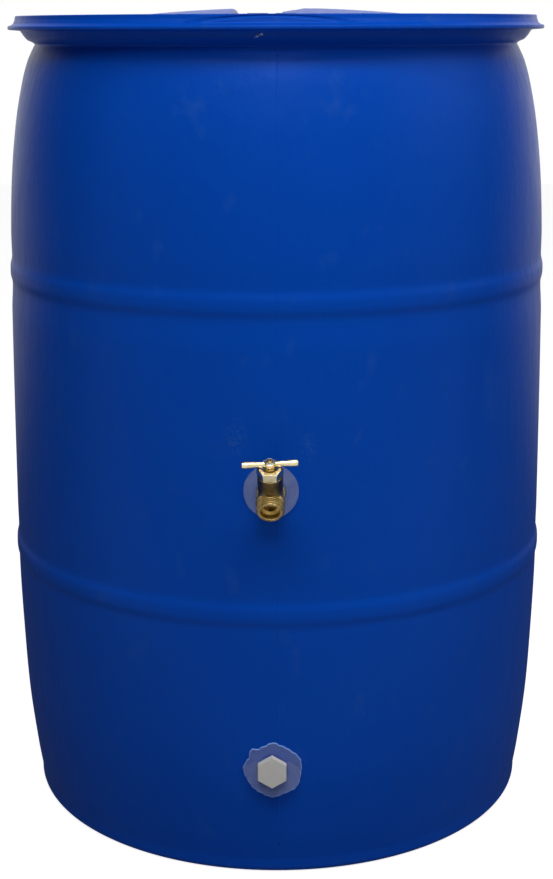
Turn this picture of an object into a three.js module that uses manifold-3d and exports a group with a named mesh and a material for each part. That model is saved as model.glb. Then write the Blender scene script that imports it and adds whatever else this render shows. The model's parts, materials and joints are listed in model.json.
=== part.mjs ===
// A rain barrel: a blow-moulded 55 US gallon closed-head drum with a brass tap half way up,
// a nylon drain plug near the floor and a hose connector high on the back.
// Millimetres, +Z up. The origin is on the floor under the middle of the barrel; the tap faces -Y.
import * as THREE from "three";
import { mergeVertices } from "three/addons/utils/BufferGeometryUtils.js";
import Module from "manifold-3d";

const GAP = 0.3; // between pieces that touch
const DRUM_SIDES = 48;
const ROUND_SIDES = 24;
const SMALL_SIDES = 16;

// Drum
const WALL = 3.5;
const HEAD_FLOOR_Z = 846;
const HEAD_DOME_Z = 874.2;
const HEAD_DOME_DROP = 19; // from the crown to the edge of the raised pads
const HEAD_DOME_R = 240;
const CHANNEL_LEFT_X = -44;
const CHANNEL_RIGHT_X = 7;
const CHANNEL_SLOPE_X = 34; // where the right pad's inner slope meets its crown
const CHANNEL_SLOPE_Z = 869;
const RIM_INNER_R = 277;
const RIM_TOP_Z = 865.8;
const BASE_RECESS_R = 205;
const BASE_RECESS_Z = 9;
const FOOT_INNER_R = 222;
const FOOT_OUTER_R = 261.4;
const FOOT_FILLET_R = 14.2;
const HOOP_R = 298.5;

// Bungs, 2 inch pipe thread
const BUNG_Y = 196;
const BUNG_THREAD_R = 30.1;
const BUNG_WELL_R = 43;
const BUNG_BOSS_R = 38;
const BUNG_SEAT_Z = 852;
const BUNG_SHANK = 20;
const BUNG_NECK_R = 34.6; // outside of the threaded neck inside the head
const BUNG_NECK = 12;
const BUNG_GASKET = 2.6;
const BUNG_FLANGE = 4;
const BUNG_FLANGE_R = 35.5;
const BUNG_CUP_R = 25;
const BUNG_FLOOR = 3; // of the cup
const BUNG_GRIP_Z = 867;
const BUNG_GRIP = { length: 52, thick: 5, notch: 7, notchDepth: 6 };

// Tap, 3/4 inch pipe thread in, 3/4 inch garden hose thread out
const TAP_Z = 407.5;
const TAP_WALL_R = 297.4;
const TAP_SEAT_OUT = 20; // from the wall to where the inlet, stem and outlet axes meet
const STEM_TILT = THREE.MathUtils.degToRad(60); // above horizontal
const OUTLET_TILT = THREE.MathUtils.degToRad(30); // below horizontal
const PIPE_R = 13.2;
const TAP_SHANK = 24;
const TAP_SHANK_BORE_R = 8.5;
const TAP_FLANGE_R = 16;
const CHAMBER_R = 6.75; // round the seat washer
const SEAT_HOLE_R = 3.5;
const OUTLET_BORE_R = 6.25;
const COUNTERBORE_R = 9.3;
const COUNTERBORE = 7.4;
const HOSE_THREAD_R = 13.5;
const OUTLET_MOUTH = 20.8;
const STEM_R = 4.6;
const STEM_END_R = 3; // through the handle's hub
const PACKING_NUT_FLATS = 22.2;
const BONNET_R = 12.3;
const BONNET_NECK_R = 9.5;
const PACKING_NUT_LOW = 31;
const PACKING_NUT_TOP = 40.5;
const HANDLE_AT = 44.6;
const HANDLE_HALF_SPAN = 26.8;
const HUB_TOP = 2.8; // above the arms' axis
const COLLAR = { r: 4.2, height: 0.6 };
const HANDLE_TURN = THREE.MathUtils.degToRad(4);

// Drain plug, 3/4 inch pipe thread
const DRAIN_Z = 118.5;
const DRAIN_WALL_R = 289.2;
const DRAIN_HEX_FLATS = 28.6;
const DRAIN_HEAD = 6.4;
const DRAIN_SHANK = 20;
const DRAIN_WASHER_R = 28.4;

// Hose connector for 1 1/4 inch hose, 1 inch pipe thread
const HOSE_Z = 735;
const HOSE_WALL_R = 290.1;
const HOSE_PIPE_R = 16.6;
const HOSE_BORE_R = 13;
const HOSE_END_OUT = 58.4;
const HOSE_SHANK = 22;
const HOSE_HEX_FLATS = 40;
const HOSE_NUT_FLATS = 44;
const HOSE_FLANGE_R = 24;
const HOSE_WASHER_R = 28;
const BARB = { root: 15.4, crest: 17, pitch: 11 };

const WASHER = 3;
const WASHER_R = 27;
const NUT = 9;
const NUT_FLATS = 36;

const materials = {
  blueHdpe: new THREE.MeshStandardMaterial({ color: 0x013f9c, roughness: 0.42, metalness: 0 }),
  greyHdpe: new THREE.MeshStandardMaterial({ color: 0x163a78, roughness: 0.5, metalness: 0 }),
  brass: new THREE.MeshStandardMaterial({ color: 0xb09a58, roughness: 0.3, metalness: 1 }),
  darkBrass: new THREE.MeshStandardMaterial({ color: 0x6d6142, roughness: 0.45, metalness: 1 }),
  steel: new THREE.MeshStandardMaterial({ color: 0xc8c8c4, roughness: 0.25, metalness: 1 }),
  clearVinyl: new THREE.MeshStandardMaterial({ color: 0x6f8fc8, roughness: 0.35, metalness: 0 }),
  rubber: new THREE.MeshStandardMaterial({ color: 0x1c1c1e, roughness: 0.8, metalness: 0 }),
  nylon: new THREE.MeshStandardMaterial({ color: 0xc4c4bd, roughness: 0.5, metalness: 0 }),
  blackPlastic: new THREE.MeshStandardMaterial({ color: 0x202123, roughness: 0.55, metalness: 0 }),
};

const wasm = await Module();
wasm.setup();

// A closed geometry as a solid, whichever way its faces were wound.
function solidOf(geometry) {
  const bare = geometry.index ? geometry.toNonIndexed() : geometry.clone();
  bare.deleteAttribute("normal");
  bare.deleteAttribute("uv");
  const merged = mergeVertices(bare, 1e-4);
  const corners = merged.index.array;
  const kept = [];
  for (let i = 0; i < corners.length; i += 3) {
    const [a, b, c] = [corners[i], corners[i + 1], corners[i + 2]];
    if (a !== b && b !== c && c !== a) kept.push([a, b, c]);
  }
  const build = (triangles) =>
    new wasm.Manifold(
      new wasm.Mesh({
        numProp: 3,
        vertProperties: merged.attributes.position.array,
        triVerts: new Uint32Array(triangles.flat()),
      }),
    );
  const made = build(kept);
  return made.volume() > 0 ? made : build(kept.map(([a, b, c]) => [a, c, b]));
}

function geometryOf(solid) {
  const mesh = solid.getMesh();
  const geometry = new THREE.BufferGeometry();
  const positions = new Float32Array(mesh.numVert * 3);
  for (let i = 0; i < mesh.numVert; i++) {
    for (let k = 0; k < 3; k++) positions[3 * i + k] = mesh.vertProperties[mesh.numProp * i + k];
  }
  geometry.setAttribute("position", new THREE.BufferAttribute(positions, 3));
  geometry.setIndex(new THREE.BufferAttribute(new Uint32Array(mesh.triVerts), 1));
  geometry.computeVertexNormals();
  return geometry;
}

// A solid turned about +Z from [radius, height] points, which start and end on the axis or form a loop.
function turned(points, sides = ROUND_SIDES) {
  const profile = points.map(([r, z]) => new THREE.Vector2(r, z));
  const [first, last] = [points[0], points[points.length - 1]];
  if (first[0] > 0 || last[0] > 0) profile.push(profile[0].clone());
  return solidOf(new THREE.LatheGeometry(profile, sides).rotateX(Math.PI / 2));
}

const rod = (r, low, high, sides) => turned([[0, low], [r, low], [r, high], [0, high]], sides);

const ring = (inner, outer, low, high, sides) =>
  turned([[inner, low], [outer, low], [outer, high], [inner, high]], sides);

// A hexagonal bar along +Z with a flat side facing +Y, or a corner there when pointed is true.
function hexBar(flats, low, high, pointed = false) {
  const bar = new THREE.CylinderGeometry(flats / Math.sqrt(3), flats / Math.sqrt(3), high - low, 6);
  bar.rotateY(pointed ? 0 : Math.PI / 6).rotateX(Math.PI / 2);
  return solidOf(bar.translate(0, 0, (low + high) / 2));
}

const box = (x, y, z, [cx, cy, cz]) => solidOf(new THREE.BoxGeometry(x, y, z).translate(cx, cy, cz));

const placed = (solid, matrix) => solid.transform(matrix.elements);

const turn = (angle) => new THREE.Matrix4().makeRotationX(angle);

const shift = (x, y, z) => new THREE.Matrix4().makeTranslation(x, y, z);

function mesh(name, solid, material) {
  const piece = new THREE.Mesh(geometryOf(solid), material);
  piece.name = name;
  return piece;
}

// Outside of the drum's wall from the foot to the neck under the rim: [radius, height].
const WALL_PROFILE = [
  [FOOT_OUTER_R, 0],
  [FOOT_OUTER_R + FOOT_FILLET_R * 0.5, FOOT_FILLET_R * 0.13],
  [FOOT_OUTER_R + FOOT_FILLET_R * 0.87, FOOT_FILLET_R * 0.5],
  [FOOT_OUTER_R + FOOT_FILLET_R, FOOT_FILLET_R],
  [280.6, 44],
  [288.4, 106.7],
  [293.2, 181.4],
  [296.2, 262],
  [HOOP_R, 274],
  [HOOP_R, 286],
  [297, 298],
  [297.6, 435],
  [297.6, 574],
  [HOOP_R, 583],
  [HOOP_R, 595],
  [297.3, 604],
  [294.6, 688.8],
  [288.4, 752.1],
  [280.6, 795.4],
  [274.5, 817.2],
  [269.8, 827.9],
  [266.3, 835.4],
];

// The lifting rim that flares from the neck and turns up around the head.
const RIM_PROFILE = [
  [268.7, 837.6],
  [277.9, 844],
  [281.6, 849.4],
  [294, 850.7],
  [295.2, 853],
  [294, 855.3],
  [289.2, 857.6],
  [286.9, RIM_TOP_Z],
  [RIM_INNER_R, RIM_TOP_Z],
  [RIM_INNER_R, HEAD_FLOOR_Z],
];

// The wall's outside as a solid, grown outwards or shrunk by a distance.
const wallOffset = (distance) =>
  turned(
    [[0, 0], ...WALL_PROFILE.map(([r, z]) => [r + distance, z]), [0, WALL_PROFILE.at(-1)[1]]],
    DRUM_SIDES,
  );

// The two raised pads of the head, a low dome split front to back by the bung channel.
function headPads(drop) {
  const dome = [[0, HEAD_FLOOR_Z - 2 * drop - 1]];
  dome.push([HEAD_DOME_R - drop, HEAD_FLOOR_Z - 2 * drop - 1]);
  for (let i = 5; i >= 0; i--) {
    const r = (HEAD_DOME_R * i) / 5;
    dome.push([Math.max(r - drop, 0), HEAD_DOME_Z - HEAD_DOME_DROP * (i / 5) ** 2 - drop]);
  }
  const channel = new THREE.Shape(
    [
      [CHANNEL_LEFT_X - drop, HEAD_DOME_Z + 10],
      [CHANNEL_LEFT_X - drop, HEAD_FLOOR_Z - 20],
      [CHANNEL_RIGHT_X + drop, HEAD_FLOOR_Z - 20],
      [CHANNEL_RIGHT_X + drop + 3, CHANNEL_SLOPE_Z - drop],
      [CHANNEL_SLOPE_X + drop, HEAD_DOME_Z - drop],
      [CHANNEL_SLOPE_X + drop, HEAD_DOME_Z + 10],
    ].map(([x, z]) => new THREE.Vector2(x, z)),
  );
  const depth = 2 * HEAD_DOME_R + 20;
  const bar = new THREE.ExtrudeGeometry(channel, { depth, bevelEnabled: false, steps: 1 });
  bar.rotateX(Math.PI / 2).translate(0, depth / 2, 0);
  let pads = turned(dome, DRUM_SIDES).subtract(solidOf(bar));
  for (const y of [-BUNG_Y, BUNG_Y]) {
    const well = rod(BUNG_WELL_R + drop, HEAD_FLOOR_Z - 20, HEAD_DOME_Z + 10, 32);
    pads = pads.subtract(placed(well, shift(0, y, 0)));
  }
  return pads;
}

function drumShell() {
  const foot = [[0, BASE_RECESS_Z], [BASE_RECESS_R, BASE_RECESS_Z], [FOOT_INNER_R, 0]];
  const outside = turned([...foot, ...WALL_PROFILE, ...RIM_PROFILE, [0, HEAD_FLOOR_Z]], DRUM_SIDES);
  const floor = [
    [0, BASE_RECESS_Z + WALL],
    [BASE_RECESS_R, BASE_RECESS_Z + WALL],
    [FOOT_INNER_R, WALL],
    [FOOT_OUTER_R, WALL],
  ];
  const plain = WALL_PROFILE.slice(3).filter(([r]) => r < HOOP_R);
  const inWall = plain.map(([r, z]) => [r - WALL, z]);
  const ceiling = [[262, HEAD_FLOOR_Z - WALL], [0, HEAD_FLOOR_Z - WALL]];
  const inside = turned([...floor, ...inWall, ...ceiling], DRUM_SIDES);
  let shell = outside.add(headPads(0));
  for (const y of [-BUNG_Y, BUNG_Y]) {
    shell = shell.add(placed(rod(BUNG_BOSS_R, HEAD_FLOOR_Z - 2, BUNG_SEAT_Z, 32), shift(0, y, 0)));
  }
  shell = shell.subtract(inside).subtract(headPads(WALL));
  for (const y of [-BUNG_Y, BUNG_Y]) {
    const neck = ring(BUNG_THREAD_R + GAP, BUNG_NECK_R, HEAD_FLOOR_Z - BUNG_NECK, BUNG_SEAT_Z, 32);
    shell = shell.subtract(placed(rod(BUNG_THREAD_R + GAP, 820, 880, 32), shift(0, y, 0)));
    shell = shell.add(placed(neck, shift(0, y, 0)));
  }
  const bored = (r, z, side) => placed(rod(r, 250, 320), shift(0, 0, z).multiply(turn((side * Math.PI) / 2)));
  return shell
    .subtract(bored(PIPE_R + 0.4, TAP_Z, 1))
    .subtract(bored(PIPE_R + 0.4, DRAIN_Z, 1))
    .subtract(bored(HOSE_PIPE_R + 0.4, HOSE_Z, -1));
}

// A fitting's own frame: +Z out of the wall and +Y up, at a height on the front or the back.
function wallFrame(wallR, z, back) {
  const frame = new THREE.Matrix4().makeRotationZ(back ? Math.PI : 0);
  return frame.multiply(shift(0, -wallR, z)).multiply(turn(Math.PI / 2));
}

const inFrame = (solid, frame) => placed(solid, frame.clone().invert());

function groupAt(frame, ...pieces) {
  const group = new THREE.Group();
  group.applyMatrix4(frame);
  group.add(...pieces);
  return group;
}

// A soft washer outside the wall, its back face following the curve of the drum.
function outerWasher(frame, hole, r) {
  return ring(hole, r, -6, WASHER, 32).subtract(inFrame(wallOffset(GAP), frame));
}

// The same inside the wall, ending where the lock nut starts.
function innerWasher(frame, hole, r) {
  return ring(hole, r, -WALL - WASHER - 2, 3, 32).intersect(inFrame(wallOffset(-WALL - GAP), frame));
}

const innerFace = -WALL - WASHER - 2; // inward face of an inner washer

function lockNut(hole, flats) {
  return hexBar(flats, innerFace - GAP - NUT, innerFace - GAP).subtract(
    rod(hole, innerFace - NUT - 5, 0, ROUND_SIDES),
  );
}

// The tap's body: shank, flange, inlet, bonnet and hose outlet in one casting with its water way.
function tapBody() {
  const bonnetAxis = shift(0, 0, TAP_SEAT_OUT).multiply(turn(-STEM_TILT));
  const outletAxis = shift(0, 0, TAP_SEAT_OUT).multiply(turn(OUTLET_TILT));
  const shank = rod(PIPE_R, -TAP_SHANK, WASHER + 1, ROUND_SIDES);
  const inlet = turned([
    [0, WASHER + GAP],
    [TAP_FLANGE_R, WASHER + GAP],
    [TAP_FLANGE_R, WASHER + 3.5],
    [11.5, WASHER + 6],
    [11, TAP_SEAT_OUT],
    [0, TAP_SEAT_OUT + 6],
  ]);
  const bonnetTop = PACKING_NUT_LOW - GAP;
  const bonnet = turned([
    [0, -11],
    [8, -9],
    [11, -4],
    [BONNET_R, 5],
    [BONNET_R, bonnetTop],
    [BONNET_NECK_R, bonnetTop],
    [BONNET_NECK_R, PACKING_NUT_LOW + 3],
    [0, PACKING_NUT_LOW + 3],
  ]);
  const outlet = turned([
    [0, -8],
    [9.5, -6],
    [9.5, 3],
    [14, 6.5],
    [14, 8.5],
    [12.2, 9.2],
    [HOSE_THREAD_R, 10],
    [HOSE_THREAD_R, OUTLET_MOUTH - 0.8],
    [HOSE_THREAD_R - 0.8, OUTLET_MOUTH],
    [0, OUTLET_MOUTH],
  ]);
  const guide = rod(STEM_R + GAP, 19, 40, ROUND_SIDES);
  const chamber = rod(CHAMBER_R, 1, 20, ROUND_SIDES).add(guide);
  const seatHole = rod(SEAT_HOLE_R, -6.5, 2, SMALL_SIDES);
  const counterbore = rod(COUNTERBORE_R, OUTLET_MOUTH - COUNTERBORE, OUTLET_MOUTH + 5);
  const mouth = rod(OUTLET_BORE_R, 5, OUTLET_MOUTH + 5, ROUND_SIDES).add(counterbore);
  return shank
    .add(inlet)
    .add(placed(bonnet, bonnetAxis))
    .add(placed(outlet, outletAxis))
    .subtract(rod(TAP_SHANK_BORE_R, -TAP_SHANK - 5, 8, ROUND_SIDES))
    .subtract(placed(rod(3, 6, 18, SMALL_SIDES), shift(0, -5, 0)))
    .subtract(placed(chamber.add(seatHole), bonnetAxis))
    .subtract(placed(mouth, outletAxis));
}

const packingNut = () =>
  hexBar(PACKING_NUT_FLATS, PACKING_NUT_LOW, PACKING_NUT_TOP)
    .subtract(rod(BONNET_NECK_R + GAP, PACKING_NUT_LOW - 5, PACKING_NUT_TOP - 2, ROUND_SIDES))
    .subtract(rod(STEM_R + 0.4, PACKING_NUT_LOW, PACKING_NUT_TOP + 5, ROUND_SIDES));

const packingRing = () =>
  ring(STEM_R + GAP, BONNET_NECK_R, PACKING_NUT_LOW + 3 + GAP, PACKING_NUT_TOP - 2 - GAP, ROUND_SIDES);

function tapStem() {
  const foot = 4.6;
  const shoulder = HANDLE_AT - 4;
  return turned([
    [0, foot],
    [6, foot],
    [6, foot + 3],
    [STEM_R, foot + 4],
    [STEM_R, shoulder],
    [STEM_END_R, shoulder],
    [STEM_END_R, HANDLE_AT + 3.6],
    [2.2, HANDLE_AT + 4.6],
    [0, HANDLE_AT + 5],
  ], ROUND_SIDES).subtract(rod(1.8, 0, 13, SMALL_SIDES));
}

function teeHandle() {
  const hub = ring(STEM_END_R + GAP, 6, -3.7, HUB_TOP, ROUND_SIDES);
  const arm = [[2.3, 4], [2.3, 8], [2.9, 17], [3.6, 21], [3.6, 25], [2.4, HANDLE_HALF_SPAN - 0.4]];
  const profile = [[0, 4], ...arm, [0, HANDLE_HALF_SPAN]];
  let handle = hub;
  for (const side of [-1, 1]) {
    const along = new THREE.Matrix4().makeRotationY((side * Math.PI) / 2);
    handle = handle.add(placed(turned(profile, SMALL_SIDES), along));
  }
  return handle;
}

function tap(frame) {
  const stemFrame = shift(0, 0, TAP_SEAT_OUT).multiply(turn(-STEM_TILT));
  const handleFrame = shift(0, 0, HANDLE_AT).multiply(new THREE.Matrix4().makeRotationZ(HANDLE_TURN));
  const collarLow = HUB_TOP + GAP;
  const collar = ring(STEM_END_R + GAP, COLLAR.r, collarLow, collarLow + COLLAR.height, ROUND_SIDES);
  const seatWasher = ring(1.9, 5.6, 1 + GAP, 4.3, ROUND_SIDES);
  const seatScrew = turned([[0, -1.4], [2.9, -1.4], [2.9, 1], [1.5, 1], [1.5, 12], [0, 12]], SMALL_SIDES);
  return groupAt(
    frame,
    mesh("tap_body", tapBody(), materials.brass),
    mesh("tap_outer_washer", outerWasher(frame, PIPE_R + GAP, WASHER_R), materials.clearVinyl),
    mesh("tap_inner_washer", innerWasher(frame, PIPE_R + GAP, WASHER_R), materials.rubber),
    mesh("tap_lock_nut", lockNut(PIPE_R + GAP, NUT_FLATS), materials.brass),
    groupAt(
      stemFrame,
      mesh("packing_nut", packingNut(), materials.brass),
      mesh("packing_ring", packingRing(), materials.rubber),
      mesh("tap_stem", tapStem(), materials.darkBrass),
      mesh("seat_washer", seatWasher, materials.rubber),
      mesh("seat_screw", seatScrew, materials.steel),
      groupAt(
        handleFrame,
        mesh("tee_handle", teeHandle(), materials.brass),
        mesh("handle_washer", collar, materials.steel),
      ),
    ),
  );
}

function drain(frame) {
  const top = WASHER + GAP + DRAIN_HEAD;
  const plug = rod(PIPE_R, -DRAIN_SHANK, WASHER + 1, ROUND_SIDES)
    .add(hexBar(DRAIN_HEX_FLATS, WASHER + GAP, top, true))
    .subtract(rod(9, -DRAIN_SHANK - 5, 2, ROUND_SIDES));
  return groupAt(
    frame,
    mesh("drain_plug", plug, materials.nylon),
    mesh("drain_outer_washer", outerWasher(frame, PIPE_R + GAP, DRAIN_WASHER_R), materials.clearVinyl),
    mesh("drain_inner_washer", innerWasher(frame, PIPE_R + GAP, WASHER_R), materials.rubber),
    mesh("drain_lock_nut", lockNut(PIPE_R + GAP, NUT_FLATS), materials.nylon),
  );
}

function hoseConnector(frame) {
  const hexTop = WASHER + GAP + 8;
  const { root, crest, pitch } = BARB;
  const barbs = [[0, -HOSE_SHANK], [HOSE_PIPE_R, -HOSE_SHANK], [HOSE_PIPE_R, hexTop - 1], [root, hexTop]];
  for (let z = hexTop + 4; z + pitch < HOSE_END_OUT; z += pitch) {
    barbs.push([root, z], [crest, z + 1], [root, z + pitch - 1]);
  }
  barbs.push([root, HOSE_END_OUT], [0, HOSE_END_OUT]);
  const connector = turned(barbs)
    .add(ring(10, HOSE_FLANGE_R, WASHER + GAP, WASHER + GAP + 2, 32))
    .add(hexBar(HOSE_HEX_FLATS, WASHER + GAP, hexTop))
    .subtract(rod(HOSE_BORE_R, -HOSE_SHANK - 5, HOSE_END_OUT + 5, ROUND_SIDES));
  return groupAt(
    frame,
    mesh("hose_connector", connector, materials.blackPlastic),
    mesh("hose_outer_washer", outerWasher(frame, HOSE_PIPE_R + GAP, HOSE_WASHER_R), materials.rubber),
    mesh("hose_inner_washer", innerWasher(frame, HOSE_PIPE_R + GAP, HOSE_WASHER_R), materials.rubber),
    mesh("hose_lock_nut", lockNut(HOSE_PIPE_R + GAP, HOSE_NUT_FLATS), materials.blackPlastic),
  );
}

// A 2 inch plug with a cup in its top and, across the cup, a grip bar notched in its middle.
function bungPlug() {
  const flangeLow = BUNG_GASKET + 2 * GAP;
  const flangeTop = flangeLow + BUNG_FLANGE;
  const gripTop = BUNG_GRIP_Z - BUNG_SEAT_Z;
  const cup = turned([
    [0, -BUNG_SHANK],
    [BUNG_THREAD_R - 1, -BUNG_SHANK],
    [BUNG_THREAD_R, -BUNG_SHANK + 2],
    [BUNG_THREAD_R, flangeLow],
    [BUNG_FLANGE_R, flangeLow],
    [BUNG_FLANGE_R, flangeTop - 1],
    [BUNG_FLANGE_R - 1, flangeTop],
    [BUNG_CUP_R, flangeTop],
    [BUNG_CUP_R, BUNG_FLOOR - BUNG_SHANK],
    [0, BUNG_FLOOR - BUNG_SHANK],
  ], 32);
  const { length, thick, notch, notchDepth } = BUNG_GRIP;
  const barHeight = gripTop + BUNG_SHANK - BUNG_FLOOR + 1;
  const bar = box(length, thick, barHeight, [0, 0, gripTop - barHeight / 2]);
  return cup.add(bar.subtract(box(notch, 2 * thick, 2 * notchDepth, [0, 0, gripTop])));
}

const bungGasket = () => ring(BUNG_THREAD_R + GAP, BUNG_FLANGE_R - 0.9, GAP, BUNG_GASKET + GAP, 32);

const bung = (name, y) =>
  groupAt(
    shift(0, y, BUNG_SEAT_Z),
    mesh(`${name}_bung_plug`, bungPlug(), materials.greyHdpe),
    mesh(`${name}_bung_gasket`, bungGasket(), materials.rubber),
  );

const barrel = new THREE.Group();
barrel.add(
  mesh("drum_shell", drumShell(), materials.blueHdpe),
  bung("front", -BUNG_Y),
  bung("rear", BUNG_Y),
  tap(wallFrame(TAP_WALL_R, TAP_Z, false)),
  drain(wallFrame(DRAIN_WALL_R, DRAIN_Z, false)),
  hoseConnector(wallFrame(HOSE_WALL_R, HOSE_Z, true)),
);

export default barrel;
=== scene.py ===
"""A rain barrel: the finished surfaces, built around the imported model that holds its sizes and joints.

Lengths in the classes are in millimetres, and each mesh is scaled to metres when it is made.
"""

from __future__ import annotations

import json
import logging
import math
from dataclasses import dataclass
from enum import Enum
from typing import Callable, Iterable, Optional, Sequence

import bmesh
import bpy
from mathutils import Matrix, Vector
from mathutils.geometry import delaunay_2d_cdt

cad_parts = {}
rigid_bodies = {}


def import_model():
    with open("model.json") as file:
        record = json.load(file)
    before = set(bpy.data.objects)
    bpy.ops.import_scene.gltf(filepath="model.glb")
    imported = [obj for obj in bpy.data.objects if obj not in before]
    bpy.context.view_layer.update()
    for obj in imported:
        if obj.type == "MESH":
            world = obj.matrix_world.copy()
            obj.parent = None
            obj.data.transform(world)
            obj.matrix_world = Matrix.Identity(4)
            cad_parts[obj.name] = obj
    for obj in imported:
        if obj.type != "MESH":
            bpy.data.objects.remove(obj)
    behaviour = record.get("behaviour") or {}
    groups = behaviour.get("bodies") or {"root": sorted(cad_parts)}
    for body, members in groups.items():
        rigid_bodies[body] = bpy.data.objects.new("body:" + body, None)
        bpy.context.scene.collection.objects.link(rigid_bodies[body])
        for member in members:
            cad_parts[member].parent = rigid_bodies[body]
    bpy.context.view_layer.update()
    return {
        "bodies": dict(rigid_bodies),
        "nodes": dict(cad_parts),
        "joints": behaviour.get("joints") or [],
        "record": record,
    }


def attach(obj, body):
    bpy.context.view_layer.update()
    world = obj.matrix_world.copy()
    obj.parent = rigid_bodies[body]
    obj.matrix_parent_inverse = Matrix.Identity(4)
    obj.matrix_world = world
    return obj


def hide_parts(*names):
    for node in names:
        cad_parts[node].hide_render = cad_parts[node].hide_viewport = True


log = logging.getLogger("rain_barrel")

MM = 0.001
Point = tuple[float, float]
Corner = tuple[float, float, float]
Tree = bpy.types.NodeTree
Socket = bpy.types.NodeSocket


# ---------------------------------------------------------------------------------------------
# Curves and meshes
# ---------------------------------------------------------------------------------------------


def filleted(corners: Sequence[Corner], closed: bool = False, arc_step: float = 12.0) -> list[Point]:
    """Rounds the corners of an outline.

    Args:
        corners: (radius, height, fillet) of each corner; a fillet of 0 keeps the corner sharp.
        closed: whether the last corner joins the first.
        arc_step: degrees that one segment of an arc turns through.

    Returns:
        The points of the outline, with each fillet as an arc.
    """
    points: list[Point] = []
    count = len(corners)
    for i, (x, y, fillet) in enumerate(corners):
        if fillet <= 0 or (not closed and i in (0, count - 1)):
            points.append((x, y))
            continue
        here = Vector((x, y))
        to_last = Vector(corners[i - 1][:2]) - here
        to_next = Vector(corners[(i + 1) % count][:2]) - here
        angle = to_last.angle(to_next)
        reach = min(fillet / math.tan(angle / 2), 0.49 * to_last.length, 0.49 * to_next.length)
        radius = reach * math.tan(angle / 2)
        bisector = (to_last.normalized() + to_next.normalized()).normalized()
        centre = here + bisector * (radius / math.sin(angle / 2))
        first = here + to_last.normalized() * reach - centre
        sweep = first.angle_signed(here + to_next.normalized() * reach - centre)
        steps = max(2, math.ceil(abs(math.degrees(sweep)) / arc_step))
        for k in range(steps + 1):
            turned = Matrix.Rotation(-sweep * k / steps, 2) @ first + centre
            points.append((turned.x, turned.y))
    return points


def smooth_curve(knots: Sequence[Point], spacing: float) -> list[Point]:
    """A Catmull-Rom curve through (radius, height) knots that rise in height.

    Args:
        knots: the points that the curve goes through.
        spacing: the height between the points of the result.

    Returns:
        Points on the curve, from the first knot to the last.
    """
    points: list[Point] = []
    for i in range(len(knots) - 1):
        (r0, z0), (r1, z1) = knots[max(i - 1, 0)], knots[i]
        (r2, z2), (r3, z3) = knots[i + 1], knots[min(i + 2, len(knots) - 1)]
        slope_1 = (r2 - r0) / (z2 - z0)
        slope_2 = (r3 - r1) / (z3 - z1)
        steps = max(1, round((z2 - z1) / spacing))
        for k in range(steps):
            t = k / steps
            rise = z2 - z1
            blend = 3 * t * t - 2 * t**3
            lift = (t - 2 * t * t + t**3) * slope_1 + (t**3 - t * t) * slope_2
            points.append((r1 + (r2 - r1) * blend + rise * lift, z1 + rise * t))
    points.append(knots[-1])
    return points


def eased(value: float, low: float, high: float) -> float:
    """0 below low, 1 above high, and a smooth step between them."""
    t = min(1.0, max(0.0, (value - low) / (high - low)))
    return t * t * (3 - 2 * t)


def add_lathe(
    mesh: bmesh.types.BMesh,
    profile: Sequence[Point],
    sides: int,
    closed: bool = False,
    shape: Optional[Callable[[float, Point], Point]] = None,
) -> list[bmesh.types.BMVert]:
    """Turns a profile about +Z into a mesh.

    Args:
        mesh: the mesh to add to.
        profile: (radius, height) points; a point on the axis becomes one vertex.
        sides: how many sides the turned form has.
        closed: whether the last point joins the first.
        shape: changes a profile point at an angle from -Y, for what isn't round.

    Returns:
        The vertices of the first ring.
    """
    rings = []
    for r, z in profile:
        if r <= 1e-6:
            rings.append([mesh.verts.new((0, 0, z))])
            continue
        ring = []
        for k in range(sides):
            angle = 2 * math.pi * k / sides
            rr, zz = shape(angle, (r, z)) if shape else (r, z)
            ring.append(mesh.verts.new((rr * math.sin(angle), -rr * math.cos(angle), zz)))
        rings.append(ring)
    pairs = list(zip(rings, rings[1:]))
    if closed:
        pairs.append((rings[-1], rings[0]))
    for low, high in pairs:
        for k in range(sides):
            n = (k + 1) % sides
            loop = [low[k % len(low)], low[n % len(low)], high[n % len(high)], high[k % len(high)]]
            corners = list(dict.fromkeys(loop))
            if len(corners) > 2:
                mesh.faces.new(corners)
    return rings[0]


def add_prism(mesh: bmesh.types.BMesh, outline: Sequence[Point], low: float, high: float) -> None:
    """Adds a closed prism: an outline in X and Y, from one height to another."""
    floor = [mesh.verts.new((x, y, low)) for x, y in outline]
    top = [mesh.verts.new((x, y, high)) for x, y in outline]
    mesh.faces.new(floor[::-1])
    mesh.faces.new(top)
    for k in range(len(outline)):
        n = (k + 1) % len(outline)
        mesh.faces.new((floor[k], floor[n], top[n], top[k]))


def add_tube(
    mesh: bmesh.types.BMesh,
    path: Sequence[Vector],
    section: Sequence[Point],
    across: Vector,
) -> None:
    """Adds a closed bar along a path.

    Args:
        mesh: the mesh to add to.
        path: the points that the bar follows.
        section: its outline, as distances along `across` and away from the barrel's axis.
        across: the direction of the section's first distance.
    """
    rings = []
    for point in path:
        away = Vector((point.x, point.y, 0)).normalized()
        rings.append([mesh.verts.new(point + across * a + away * b) for a, b in section])
    for low, high in zip(rings, rings[1:]):
        for k in range(len(section)):
            n = (k + 1) % len(section)
            mesh.faces.new((low[k], low[n], high[n], high[k]))
    mesh.faces.new(rings[0])
    mesh.faces.new(rings[-1][::-1])


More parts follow.
